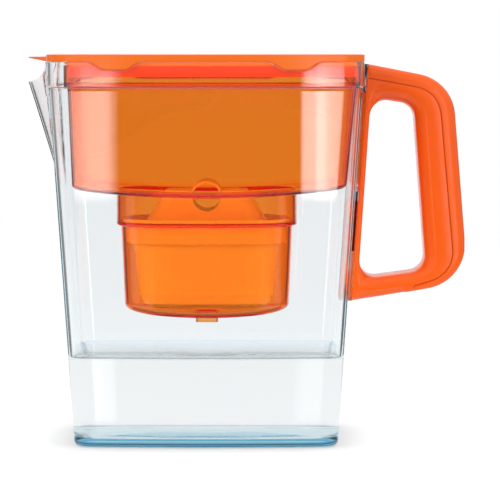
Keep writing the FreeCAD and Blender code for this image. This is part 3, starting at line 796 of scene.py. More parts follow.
@dataclass
class Jug:
    """The clear jug with its spout, rim band and rail, and the water that stands in it."""

    base: BowedOutline = BowedOutline(0.0875, 0.053, 0.012, 1.0, 0.6)
    rim: BowedOutline = BowedOutline(0.103, 0.0615, 0.012, 1.0, 0.6)
    height: float = 0.25
    ledge: float = 0.2345
    wall: float = 0.0026
    floor: float = 0.005
    floor_dome: float = 0.0022
    foot_round: float = 0.0034
    foot_inset: float = 0.009
    floor_round: float = 0.009
    dome_scales: tuple[float, ...] = (0.8, 0.6, 0.4, 0.2, 0.03)
    ledge_round: float = 0.0005
    ledge_margin: float = 0.002
    seat_round: float = 0.0004
    shoulder_round: float = 0.0006
    band_offset: float = 0.0012
    band_wall: float = 0.0022
    band_round: float = 0.0007
    spout_tip: float = 0.1181
    spout_slope: float = 0.31
    spout_flare: float = 1.04
    spout_round: float = 0.0035
    spout_wall: float = 0.0024
    spout_blend: float = 0.002
    spout_root: float = 0.19
    spout_half: float = 0.036
    spout_start: float = 0.15
    spout_step: float = 0.004
    spout_rings: int = 21
    lip_radius: float = 0.013
    lip_tries: int = 24
    rail_half: float = 0.012
    rail_depth: float = 0.0023
    rail_span: tuple[float, float] = (0.092, 0.2487)
    slot_half: float = 0.008
    slot_depth: float = 0.0033
    slot_spans: tuple[tuple[float, float], ...] = ((0.092, 0.125), (0.1645, 0.2305))
    edge_soft: float = 0.0006
    edge_gap: float = 0.0001
    tabs: FingerTabs = FingerTabs()
    tab_clearance: float = 0.0003
    water_level: float = 0.058
    water_gap: float = 0.00012
    meniscus: float = 0.0014
    meniscus_steps: tuple[tuple[float, float], ...] = (
        (0.0004, 0.7), (0.001, 0.4), (0.002, 0.16), (0.0035, 0.03)
    )
    still_inset: float = 0.006
    still_rings: int = 40
    side_slope: float = 0.2
    ripple_height: float = 0.00026
    ripple_length: float = 0.0085
    ripple_reach: float = 0.05
    ripple_edge: float = 0.1

    def outline(self, height: float) -> BowedOutline:
        """Return the outside outline at a height."""
        return self.base.mix(self.rim, min(height / self.ledge, 1.0))

    @property
    def band(self) -> BowedOutline:
        """The outside of the rim band."""
        return self.rim.inset(-self.band_offset)

    @property
    def band_inside(self) -> BowedOutline:
        """The inside of the rim band."""
        return self.band.inset(self.band_wall)

    def rail_face(self, height: float) -> float:
        """Return how far the rail's face stands along +X at a height."""
        lean = (self.rim.half_length - self.base.half_length) / self.ledge
        return self.base.half_length + lean * height + self.rail_depth

    def spout_reach(self, wall: float, across: float, height: float, depth: float) -> float:
        """Return how far the wall and the V of the spout, blended, reach along -X.

        Args:
            wall: Reach of the plain wall.
            across: Place across the pitcher.
            height: Height over the table.
            depth: How far inside the outer skin.

        Returns:
            The reach in metres.
        """
        keel = self.spout_tip + (height - self.height + self.lip_radius) * self.spout_slope
        back = (math.hypot(across, self.spout_round) - self.spout_round) / self.spout_flare
        face = keel - back - depth
        return (wall + face + math.hypot(wall - face, self.spout_blend)) / 2

    def lip_height(self, reach: float) -> float:
        """Work out the rim's height, which is lower where the lip is cut round.

        Args:
            reach: The place along -X.

        Returns:
            The height in metres.
        """
        past = max(self.spout_tip - reach, 0.0)
        if past >= self.lip_radius:
            return self.height
        return self.height - math.sqrt(self.lip_radius**2 - past**2)

    def bend_spout(self, place: Vector, depth: float) -> Vector:
        """Push a point of the end wall out into the spout.

        Args:
            place: The point on the plain wall.
            depth: How far inside the outer skin it lies.

        Returns:
            The point on the spout.
        """
        wall, across, height = -place.x, place.y, place.z
        top = self.height
        for _ in range(self.lip_tries):
            top = (top + self.lip_height(self.spout_reach(wall, across, top, depth))) / 2
        if height > self.spout_root:
            squeeze = (top - self.spout_root) / (self.height - self.spout_root)
            height = self.spout_root + (height - self.spout_root) * squeeze
        return Vector((-self.spout_reach(wall, across, height, depth), across, height))

    def bend_rail(self, place: Vector) -> Vector:
        """Push a point of the far end wall out onto the rail, or into its slots.

        Args:
            place: The point on the plain wall.

        Returns:
            The point on the rail.
        """
        side = abs(place.y)
        low, high = self.rail_span
        on_rail = low <= place.z <= high
        share = ramp(side, self.rail_half + self.edge_soft, self.rail_half - self.edge_soft) * on_rail
        in_slot = any(bottom <= place.z <= top for bottom, top in self.slot_spans)
        groove = ramp(side, self.slot_half + self.edge_soft, self.slot_half) * in_slot
        face = self.rail_face(place.z) - groove * self.slot_depth
        return Vector((place.x + (face - place.x) * share, place.y, place.z))

    def bend(self, place: Vector, level: Level) -> Vector:
        """Move a point of the plain jug to the spout, the rail or a notch.

        Args:
            place: The point.
            level: The level that it belongs to.

        Returns:
            The point's final place.
        """
        if place.z > self.ledge:
            notch = self.tabs.depth(place.x, self.tab_clearance)
            squeeze = 1 - notch / (self.height - self.ledge)
            place = Vector((place.x, place.y, self.ledge + (place.z - self.ledge) * squeeze))
        if place.x < 0 and abs(place.y) < self.spout_half and level.push:
            return self.bend_spout(place, level.depth)
        if place.x > 0 and level.push and level.depth == 0:
            return self.bend_rail(place)
        return place

    def dome(self, outline: BowedOutline, low: float) -> list[Level]:
        """Draw the domed floor.

        Args:
            outline: The floor's outline.
            low: Height of its edge.

        Returns:
            Its levels from the edge to the middle.
        """
        rises = [(scale, self.floor_dome * (1 - scale**2)) for scale in self.dome_scales]
        return [Level(outline, low + rise, scale=scale) for scale, rise in rises]

    def build_shell(self) -> None:
        """Loft the jug's wall from the foot over the rim to the floor."""
        path = Profile()
        foot = self.outline(0.0)
        path.add(Level(foot.inset(self.foot_inset), 0.0)).add(Level(foot, 0.0), self.foot_round)
        sides = (-self.edge_gap, self.edge_gap)
        spans = (self.rail_span, *self.slot_spans)
        stops = [end + side for span in spans for end in span for side in sides]
        spout_stops = [self.spout_start + self.spout_step * ring for ring in range(self.spout_rings)]
        for stop in sorted({round(stop, 5) for stop in stops + spout_stops}):
            if stop < self.ledge - self.ledge_margin:
                path.add(Level(self.outline(stop), stop, push=1.0))
        path.add(Level(self.rim, self.ledge - self.band_offset, push=1.0), self.ledge_round)
        path.add(Level(self.band, self.ledge, push=1.0), self.ledge_round)
        for side in sides:
            path.add(Level(self.band, self.rail_span[1] + side, push=1.0))
        inner = {"push": 1.0, "depth": self.spout_wall}
        path.add(Level(self.band, self.height, push=1.0), self.band_round)
        path.add(Level(self.band_inside, self.height, **inner), self.band_round)
        path.add(Level(self.band_inside, self.ledge, **inner), self.seat_round)
        path.add(Level(self.rim.inset(self.wall), self.ledge, **inner), self.shoulder_round)
        for stop in reversed(spout_stops):
            path.add(Level(self.outline(stop).inset(self.wall), stop, **inner))
        shore = self.water_level + self.meniscus
        path.add(Level(self.outline(shore).inset(self.wall), shore))
        floor = self.outline(self.floor).inset(self.wall)
        path.add(Level(floor, self.floor), self.floor_round)
        for level in self.dome(floor, self.floor):
            path.add(level)
        mesh = loft(path, closed=False, bend=self.bend)
        self.mark_faces(mesh, self.is_wet)
        piece = make_piece("jug_shell", mesh, CLEAR.material(), Body.JUG, Slot.CLEAR)
        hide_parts("jug")

    @staticmethod
    def mark_faces(mesh: bmesh.types.BMesh, test: Callable[[bmesh.types.BMFace], bool]) -> None:
        """Note on each face whether it touches another clear piece.

        Args:
            mesh: The mesh.
            test: Tells whether a face touches one.
        """
        bmesh.ops.recalc_face_normals(mesh, faces=mesh.faces)
        layer = mesh.faces.layers.float.new(TOUCHING)
        for face in mesh.faces:
            face[layer] = float(test(face))

    def is_wet(self, face: bmesh.types.BMFace) -> bool:
        """Tell whether a face of the jug looks inwards at the water.

        Args:
            face: The face.

        Returns:
            Whether it does.
        """
        middle = face.calc_center_median()
        inwards = Vector((0.0, 0.0, self.water_level)) - middle
        return middle.z < self.water_level + self.meniscus and face.normal.dot(inwards) > 0

    def is_held(self, face: bmesh.types.BMFace) -> bool:
        """Tell whether a face of the water lies against the jug."""
        return face.normal.z < self.side_slope

    def water_surface(self, place: Vector, level: Level) -> Vector:
        """Raise a point of the water's surface into rings round the middle.

        Args:
            place: The point.
            level: The level that it belongs to.

        Returns:
            The point's final place.
        """
        if not level.push:
            return place
        away = math.hypot(place.x, place.y)
        fade = math.exp(-away / self.ripple_reach) * ramp(1 - level.scale, 0.0, self.ripple_edge)
        wave = math.sin(2 * math.pi * away / self.ripple_length)
        return Vector((place.x, place.y, place.z + self.ripple_height * wave * fade))

    def build_water(self) -> None:
        """Fill the jug up to the water level, with a meniscus and faint rings."""
        gap = self.wall + self.water_gap
        low = self.floor + self.water_gap
        floor = self.outline(low).inset(gap)
        path = Profile()
        for level in reversed(self.dome(floor, low)):
            path.add(level)
        path.add(Level(floor, low), self.floor_round)
        top = self.outline(self.water_level).inset(gap)
        path.add(Level(top, self.water_level + self.meniscus))
        for inset, rise in self.meniscus_steps:
            path.add(Level(top.inset(inset), self.water_level + self.meniscus * rise))
        still = top.inset(self.still_inset)
        for ring in range(self.still_rings):
            scale = 1 - ring / (self.still_rings + 0.5)
            path.add(Level(still, self.water_level, scale=scale, push=1.0))
        mesh = loft(path, closed=False, bend=self.water_surface)
        self.mark_faces(mesh, self.is_held)
        # Puts the water's band of painted shade at the waterline.
        finish = replace(WATER, painted_shade_height=self.water_level)
        make_piece("water_fill", mesh, finish.material(), Body.JUG, Slot.CLEAR)

    def build(self) -> None:
        """Build the jug and pour the water."""
        self.build_shell()
        self.build_water()


@dataclass(frozen=True)
class Station:
    """A place on the edge of the handle's opening, and what lies outwards from it.

    Attributes:
        start: The point on the opening's edge, as x and z.
        way: The direction outwards from the opening.
        reach: Distance to the handle's outside.
        parting: Distance to the parting line, or None where there is none.
        soft: Whether the outer edge is well rounded.
    """

    start: Vector
    way: Vector
    reach: float
    parting: float | None
    soft: bool


@dataclass(frozen=True)
class Contour:
    """A path in the upright middle plane through corners x, z, some of them rounded."""

    corners: tuple[tuple[float, float, float], ...]
    closed: bool = True
    steps: int = 14

    def arc(self, index: int) -> tuple[Vector, float, float]:
        """Return a corner's arc.

        Args:
            index: The corner's number.

        Returns:
            The arc's centre, and the angles where it starts and stops.
        """
        count = len(self.corners)
        here, before, after = (Vector(self.corners[(index + step) % count][:2]) for step in (0, -1, 1))
        radius = self.corners[index][2]
        back, ahead = (before - here).normalized(), (after - here).normalized()
        half = back.angle(ahead) / 2
        centre = here + (back + ahead).normalized() * radius / math.sin(half)
        first = here + back * radius / math.tan(half) - centre
        start = math.atan2(first.y, first.x)
        turn = math.pi - 2 * half
        left = ahead.x * back.y - ahead.y * back.x > 0
        return centre, start, start + (turn if left else -turn)

    def points(self) -> list[Vector]:
        """Walk along the path.

        Returns:
            The points, with the first one again at the end of a closed path.
        """
        result = []
        for index, (x, z, radius) in enumerate(self.corners):
            if not radius:
                result.append(Vector((x, z)))
                continue
            centre, start, stop = self.arc(index)
            for step in range(self.steps + 1):
                turn = start + (stop - start) * step / self.steps
                result.append(centre + radius * Vector((math.cos(turn), math.sin(turn))))
        return result + result[:1] if self.closed else result

    def hit(self, start: Vector, way: Vector) -> float | None:
        """Find where a ray first meets the path.

        Args:
            start: The ray's start.
            way: Its direction.

        Returns:
            The distance from the start, or None.
        """
        found = []
        points = self.points()
        for first, second in zip(points, points[1:]):
            along = second - first
            cross = way.x * along.y - way.y * along.x
            if abs(cross) < PARALLEL:
                continue
            apart = first - start
            distance = (apart.x * along.y - apart.y * along.x) / cross
            share = (apart.x * way.y - apart.y * way.x) / cross
            if distance > SAME_PLACE and -SAME_PLACE <= share <= 1 + SAME_PLACE:
                found.append(distance)
        return min(found, default=None)


@dataclass
class Handle:
    """The handle: a frame round the opening, and a spine that covers its back."""

    jug: Jug
    width: float = 0.032
    outer: tuple[tuple[float, float, float], ...] = (
        (0.09588, 0.092, 0.0), (0.1733, 0.1049, 0.029), (0.1622, 0.2378, 0.029), (0.10624, 0.2487, 0.0)
    )
    opening: tuple[tuple[float, float, float], ...] = (
        (0.10022, 0.1062, 0.011), (0.1453, 0.1124, 0.011), (0.1368, 0.222, 0.011), (0.10818, 0.2266, 0.011)
    )
    parting: tuple[tuple[float, float, float], ...] = (
        (0.09, 0.2393, 0.0), (0.10624, 0.2393, 0.0), (0.1528, 0.23075, 0.0196), (0.1639, 0.11054, 0.0196),
        (0.137, 0.10245, 0.0), (0.13, 0.1003, 0.0),
    )
    parting_step: tuple[float, float] = (0.13685, 0.1024)
    parting_start: tuple[float, float] = (0.137, 0.10245)
    parting_stop: tuple[float, float] = (0.10562, 0.2393)
    groove_round: float = 0.0003
    groove_width: float = 0.0005
    groove_depth: float = 0.0014
    cover_tip: float = 0.0002
    grip_round: float = 0.008
    back_round: float = 0.0065
    crisp_round: float = 0.0004
    grip_share: float = 0.42
    back_share: float = 0.7
    cover_share: float = 0.55
    groove_share: float = 0.4
    corner_steps: int = 7
    arc_steps: int = 12
    side_steps: int = 10
    lug_half: float = 0.0078
    stem_half: float = 0.0048
    lug_reach: tuple[float, float] = (-0.0031, -0.0015)
    stem_reach: tuple[float, float] = (-0.0031, 0.0017)
    lug_spans: tuple[tuple[float, float], ...] = ((0.0922, 0.1248), (0.1976, 0.2303))

    def stations(self) -> list[Station]:
        """Find the stations once round the opening.

        Returns:
            The stations in order, with those at sharp corners doubled.
        """
        opening, outside = Contour(self.opening), Contour(self.outer)
        parting = Contour(self.parting, closed=False)
        corners = [Vector(self.outer[index][:2]) for index in (0, 3)]
        ends = (self.parting_step, self.parting_start, self.parting_stop)
        targets = [*corners, *(Vector(end) for end in ends)]
        rail_low, rail_high = corners
        rail = (rail_high - rail_low).normalized()
        result = []

        def add(start: Vector, way: Vector) -> None:
            """Add a station, twice at a sharp corner.

            Args:
                start: The point on the opening's edge.
                way: The direction outwards.
            """
            reach = outside.hit(start, way)
            far = start + way * reach
            from_rail = abs((far - rail_low).x * rail.y - (far - rail_low).y * rail.x)
            line = parting.hit(start, way)
            line = line if line is not None and line < reach + SAME_PLACE else None
            at_low, at_high = ((far - corner).length < SAME_PLACE for corner in corners)
            softness = (from_rail > SAME_PLACE,)
            if at_low or at_high:
                softness = (at_high, at_low)
            for soft in softness:
                result.append(Station(start, way, reach, line, soft))

        count = len(self.opening)
        for index in range(count):
            radius = self.opening[index][2]
            centre, begin, end = opening.arc(index)
            turns = [begin + (end - begin) * step / self.arc_steps for step in range(self.arc_steps + 1)]
            for target in targets:
                turn = math.atan2(target.y - centre.y, target.x - centre.x)
                turn += 2 * math.pi * round((begin + (end - begin) / 2 - turn) / (2 * math.pi))
                if begin < turn < end:
                    turns.append(turn)
            for turn in sorted(turns):
                way = Vector((math.cos(turn), math.sin(turn)))
                add(centre + way * radius, way)
            after, next_begin, _ = opening.arc((index + 1) % count)
            first = centre + radius * Vector((math.cos(end), math.sin(end)))
            last = after + radius * Vector((math.cos(next_begin), math.sin(next_begin)))
            way = Vector((math.cos(end), math.sin(end)))
            run = last - first
            shares = [step / self.side_steps for step in range(1, self.side_steps)]
            for target in targets:
                share = (target - first).dot(run) / run.length_squared
                if 0 < share < 1 and (target - first).dot(way) > 0:
                    shares.append(share)
            for share in sorted(shares):
                add(first + run * share, way)
        return result

    def section(
        self, station: Station, ends: tuple[float, float], rounds: tuple[float, float], groove: float = 0.0
    ) -> list[Vector]:
        """Draw the handle's section at a station.

        Args:
            station: The station.
            ends: Distances from the opening's edge where the section starts and stops.
            rounds: Radii at its start and its stop.
            groove: Width of the groove cut along its start, which then isn't rounded.

        Returns:
            The section's points, once round.
        """
        start, stop = ends
        near, far = rounds
        half = self.width / 2
        turns = [math.pi / 2 * step / self.corner_steps for step in range(self.corner_steps + 1)]
        quarter = [(1 - math.cos(turn), 1 - math.sin(turn)) for turn in turns]
        flat = [(start + near * run, -half + near * fall) for run, fall in quarter]
        if groove:
            bottom, shelf = -half + self.groove_depth, start + groove
            flat = [(start, bottom), (shelf, bottom), (shelf, -half)]
        flat += [(stop - far * fall, -half + far * run) for run, fall in quarter]
        flat += [(along, -across) for along, across in reversed(flat)]
        points = []
        for along, across in flat:
            spot = station.start + station.way * along
            points.append(Vector((spot.x, across, spot.y)))
        return points

    def inner_round(self, station: Station) -> float:
        """Return the radius of the opening's edge at a station."""
        return min(self.grip_round, self.grip_share * station.reach)

    def outer_round(self, station: Station) -> float:
        """Work out the radius of the outer edge.

        Args:
            station: The station.

        Returns:
            The radius in metres.
        """
        if not station.soft:
            return self.crisp_round
        room = station.reach - (station.parting or self.inner_round(station))
        return max(min(self.back_round, self.back_share * room), self.groove_round)

    def add_lugs(self, mesh: bmesh.types.BMesh) -> None:
        """Add the two T lugs that sit in the rail's slots.

        Args:
            mesh: The mesh of the handle's frame.
        """
        for low, high in self.lug_spans:
            for half, (inner, outer) in ((self.lug_half, self.lug_reach), (self.stem_half, self.stem_reach)):
                block = bmesh.ops.create_cube(mesh, size=1.0)["verts"]
                bmesh.ops.scale(mesh, vec=(outer - inner, 2 * half, high - low), verts=block)
                bmesh.ops.translate(mesh, vec=((inner + outer) / 2, 0.0, (low + high) / 2), verts=block)
                for vertex in block:
                    vertex.co.x += self.jug.rail_face(vertex.co.z)

    def build(self) -> None:
        """Build the frame and the spine."""
        material = ORANGE.material()
        stations = self.stations()
        step, begin, end = (
            next(number for number, station in enumerate(stations) if self._passes(station, point))
            for point in (self.parting_step, self.parting_start, self.parting_stop)
        )
        frame_rings, spine_rings = [], []
        for number, station in enumerate(stations):
            inner, outer = self.inner_round(station), self.outer_round(station)
            if number <= step or number > end:
                frame_rings.append(self.section(station, (0.0, station.reach), (inner, outer)))
            if step <= number <= end:
                rounds = (inner, self.groove_round)
                frame_rings.append(self.section(station, (0.0, station.parting), rounds))
            if begin <= number <= end:
                ends = (min(station.parting, station.reach - self.cover_tip), station.reach)
                room = ends[1] - ends[0]
                groove = min(self.groove_width, self.groove_share * room)
                rounds = (0.0, min(outer, self.cover_share * room))
                spine_rings.append(self.section(station, ends, rounds, groove))
        mesh = skin(frame_rings, closed=True)
        self.add_lugs(mesh)
        piece = make_piece("handle_grip_frame", mesh, material, Body.JUG, Slot.ORANGE)
        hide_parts("handle_frame")
        mesh = skin(spine_rings, closed=False)
        cover = make_piece("handle_back_cover", mesh, material, Body.JUG, Slot.ORANGE)
        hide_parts("handle_spine")

    @staticmethod
    def _passes(station: Station, point: tuple[float, float]) -> bool:
        """Tell whether a station's ray passes through a point.

        Args:
            station: The station.
            point: The point's x and z.

        Returns:
            Whether it does.
        """
        apart = Vector(point) - station.start
        beside = abs(apart.x * station.way.y - apart.y * station.way.x)
        return beside < SAME_PLACE and apart.dot(station.way) > 0


@dataclass
class Funnel:
    """The lift-out funnel: collar, tank with a dished floor, well, cup and drain nozzle."""

    jug: Jug
    cartridge: BowedOutline = BowedOutline(0.0544, 0.0324, 0.024, 0.3, 0.09)
    nozzle: BowedOutline = BowedOutline(0.00735, 0.005, 0.0015, 0.3, 0.2)
    wall: float = 0.002
    gap: float = 0.0012
    floor_gap: float = 0.003
    fit: float = 0.0004
    pour_gap: float = 0.0086
    pour_gap_low: float = 0.0048
    flange_thickness: float = 0.0022
    collar_wall: float = 0.0018
    collar_top: float = 0.2475
    floor_height: float = 0.1624
    floor_radius: float = 0.723
    step_height: float = 0.1425
    cartridge_fit: float = 0.0005
    well_ledge: float = 0.003
    cup_draft: float = 0.0023
    cup_bottom: float = 0.0825
    cup_radius: float = 0.363
    nozzle_bottom: float = 0.0772
    nozzle_wall: float = 0.0011
    lip_round: float = 0.0006
    ledge_round: float = 0.0005
    throat_round: float = 0.0007
    tank_round: float = 0.0035
    tank_inner_round: float = 0.003
    well_round: float = 0.0012
    step_round: float = 0.001
    cup_round: float = 0.004
    nozzle_round: float = 0.0008
    bore_round: float = 0.0003
    drain_round: float = 0.0004

    @property
    def flange(self) -> BowedOutline:
        """The outside of the collar."""
        return self.jug.band_inside.inset(self.fit).shorten(self.pour_gap)

    def build(self) -> None:
        """Loft the funnel's wall down the outside and up the inside."""
        jug, wall = self.jug, self.wall
        ledge, flange = jug.ledge, self.flange
        throat = ledge + self.flange_thickness
        tank_top = jug.rim.inset(jug.wall + self.gap).shorten(self.pour_gap)
        tank_low = jug.outline(self.floor_height).inset(jug.wall + self.floor_gap)
        tank_low = tank_low.shorten(self.pour_gap_low)
        cup_top = self.cartridge.inset(-self.cartridge_fit)
        cup_low = cup_top.inset(self.cup_draft)
        well = cup_top.inset(-self.well_ledge)
        well_outside = well.inset(-wall)
        bore = self.nozzle.inset(self.nozzle_wall)
        collar = flange.inset(self.collar_wall)
        floor, step, bottom = self.floor_height, self.step_height, self.cup_bottom
        dish, cup_dish = 0.5 / self.floor_radius, 0.5 / self.cup_radius
        path = Profile()
        for level, radius, cuts in (
            (Level(flange, self.collar_top), self.lip_round, 1),
            (Level(flange, ledge), self.ledge_round, 1),
            (Level(tank_top, ledge), self.throat_round, 4),
            (Level(tank_low, floor, dish), self.tank_round, 5),
            (Level(well_outside, floor, dish), self.well_round, 1),
            (Level(well_outside, step), self.well_round, 1),
            (Level(cup_top.inset(-wall), step), self.step_round, 3),
            (Level(cup_low.inset(-wall), bottom, cup_dish), self.cup_round, 4),
            (Level(self.nozzle, bottom, cup_dish), self.nozzle_round, 1),
            (Level(self.nozzle, self.nozzle_bottom), self.ledge_round, 1),
            (Level(bore, self.nozzle_bottom), self.bore_round, 1),
            (Level(bore, bottom + wall), self.drain_round, 4),
            (Level(cup_low, bottom + wall, cup_dish), self.tank_inner_round, 3),
            (Level(cup_top, step + wall), self.lip_round, 1),
            (Level(well, step + wall), self.step_round, 1),
            (Level(well, floor + wall, dish), self.well_round, 5),
            (Level(tank_low.inset(wall), floor + wall, dish), self.tank_inner_round, 4),
            (Level(tank_top.inset(wall), throat), self.throat_round, 1),
            (Level(collar, throat), self.lip_round, 1),
            (Level(collar, self.collar_top), self.lip_round, 1),
        ):
            path.add(level, radius, cuts)
        mesh = loft(path, closed=True)
        piece = make_piece("funnel_shell", mesh, ORANGE_CLEAR.material(), Body.FUNNEL, Slot.ORANGE_CLEAR)
        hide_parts("funnel")


@dataclass
class Lid:
    """The lift-off lid with its beak, finger tabs, raised border and plug skirt."""

    jug: Jug
    funnel: Funnel
    top: float = 0.255
    bottom: float = 0.2502
    edge_round: float = 0.0018
    panel_border: float = 0.01
    panel_depth: float = 0.0008
    plate: float = 0.0024
    tab_wall: float = 0.0022
    skirt_bottom: float = 0.2404
    skirt_wall: float = 0.0018
    skirt_gap: float = 0.0004
    beak_top: float = 0.2534
    beak_fall: float = 0.0004
    beak_bottom: float = 0.2526
    beak_round: float = 0.003
    beak_edge_round: float = 0.0002
    panel_inset: float = 0.0115
    panel_scale: float = 0.9
    panel_slope: float = 0.0008
    panel_round: float = 0.0006
    rim_round: float = 0.0005
    plate_round: float = 0.0008
    root_round: float = 0.0006
    ceiling_round: float = 0.0015
    ceiling_scale: float = 0.7

    def bend(self, place: Vector, level: Level) -> Vector:
        """Push a point out into the beak and down into the finger tabs.

        Args:
            place: The point.
            level: The level that it belongs to.

        Returns:
            The point's final place.
        """
        x, y, z = place
        if level.push and x < 0 and abs(y) < self.jug.spout_half:
            back = (math.hypot(y, self.beak_round) - self.beak_round) / self.jug.spout_flare
            x = min(x, x + (back - self.jug.spout_tip - x) * level.push)
            share = ramp(-x, self.jug.band.half_length, self.jug.spout_tip)
            z += (self.beak_bottom - self.bottom) * share * level.drop
        return Vector((x, y, z - self.jug.tabs.depth(x) * level.drop))

    def build(self) -> None:
        """Loft the lid's plate, wall and skirt."""
        band = self.jug.band
        under = self.top - self.plate
        skirt = self.funnel.flange.inset(self.funnel.collar_wall + self.skirt_gap)
        inside = skirt.inset(self.skirt_wall)
        panel = self.top - self.panel_depth
        path = Profile()
        for level, radius in (
            (Level(band.inset(self.panel_inset), panel, scale=self.panel_scale), 0.0),
            (Level(band.inset(self.panel_border + self.panel_slope), panel), self.panel_round),
            (Level(band.inset(self.panel_border), self.top), self.panel_round),
            (Level(band, self.top), self.edge_round),
            (Level(band, self.beak_top + self.beak_fall), 0.0),
            (Level(band, self.beak_top, push=1.0), self.beak_edge_round),
            (Level(band, self.bottom, push=1.0, drop=1.0), self.rim_round),
            (Level(band.inset(self.tab_wall), self.bottom, drop=1.0), self.rim_round),
            (Level(band.inset(self.plate), under), self.plate_round),
            (Level(skirt, under), self.root_round),
            (Level(skirt, self.skirt_bottom), self.rim_round),
            (Level(inside, self.skirt_bottom), self.rim_round),
            (Level(inside, under), self.ceiling_round),
            (Level(inside, under, scale=self.ceiling_scale), 0.0),
        ):
            path.add(level, radius)
        mesh = loft(path, closed=False, bend=self.bend)
        piece = make_piece("lid_shell", mesh, LID_ORANGE.material(), Body.LID, Slot.ORANGE)
        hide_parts("lid")


@dataclass
class Cartridge:
    """The filter cartridge."""

    def build(self) -> None:
        """Dress the cup, the cap, the screens and the bed."""
        white = WHITE.material()
        screen = SCREEN.material()
        for node, material in (
            ("cartridge_cup", white),
            ("cartridge_cap", white),
            ("inlet_screen", screen),
            ("outlet_screen", screen),
            ("sorbent_bed", GRANULES.material()),
        ):
            dress(node, material)


@dataclass(frozen=True)
class Lamp:
    """A soft box that looks at the middle of the pitcher and shows in no reflection."""

    name: str
    place: tuple[float, float, float]
    size: float
    watts: float

    def build(self, target: Vector) -> None:
        """Hang the lamp and turn it to the target.

        Args:
            target: The point that it looks at.
        """
        data = bpy.data.lights.new(self.name, "AREA")
        data.shape = "SQUARE"
        data.size = self.size
        data.energy = self.watts
        lamp = bpy.data.objects.new(self.name, data)
        lamp.location = self.place
        lamp.rotation_euler = (target - Vector(self.place)).to_track_quat("-Z", "Y").to_euler()
        lamp.visible_camera = False
        lamp.visible_glossy = False
        lamp.visible_transmission = False
        bpy.context.scene.collection.objects.link(lamp)


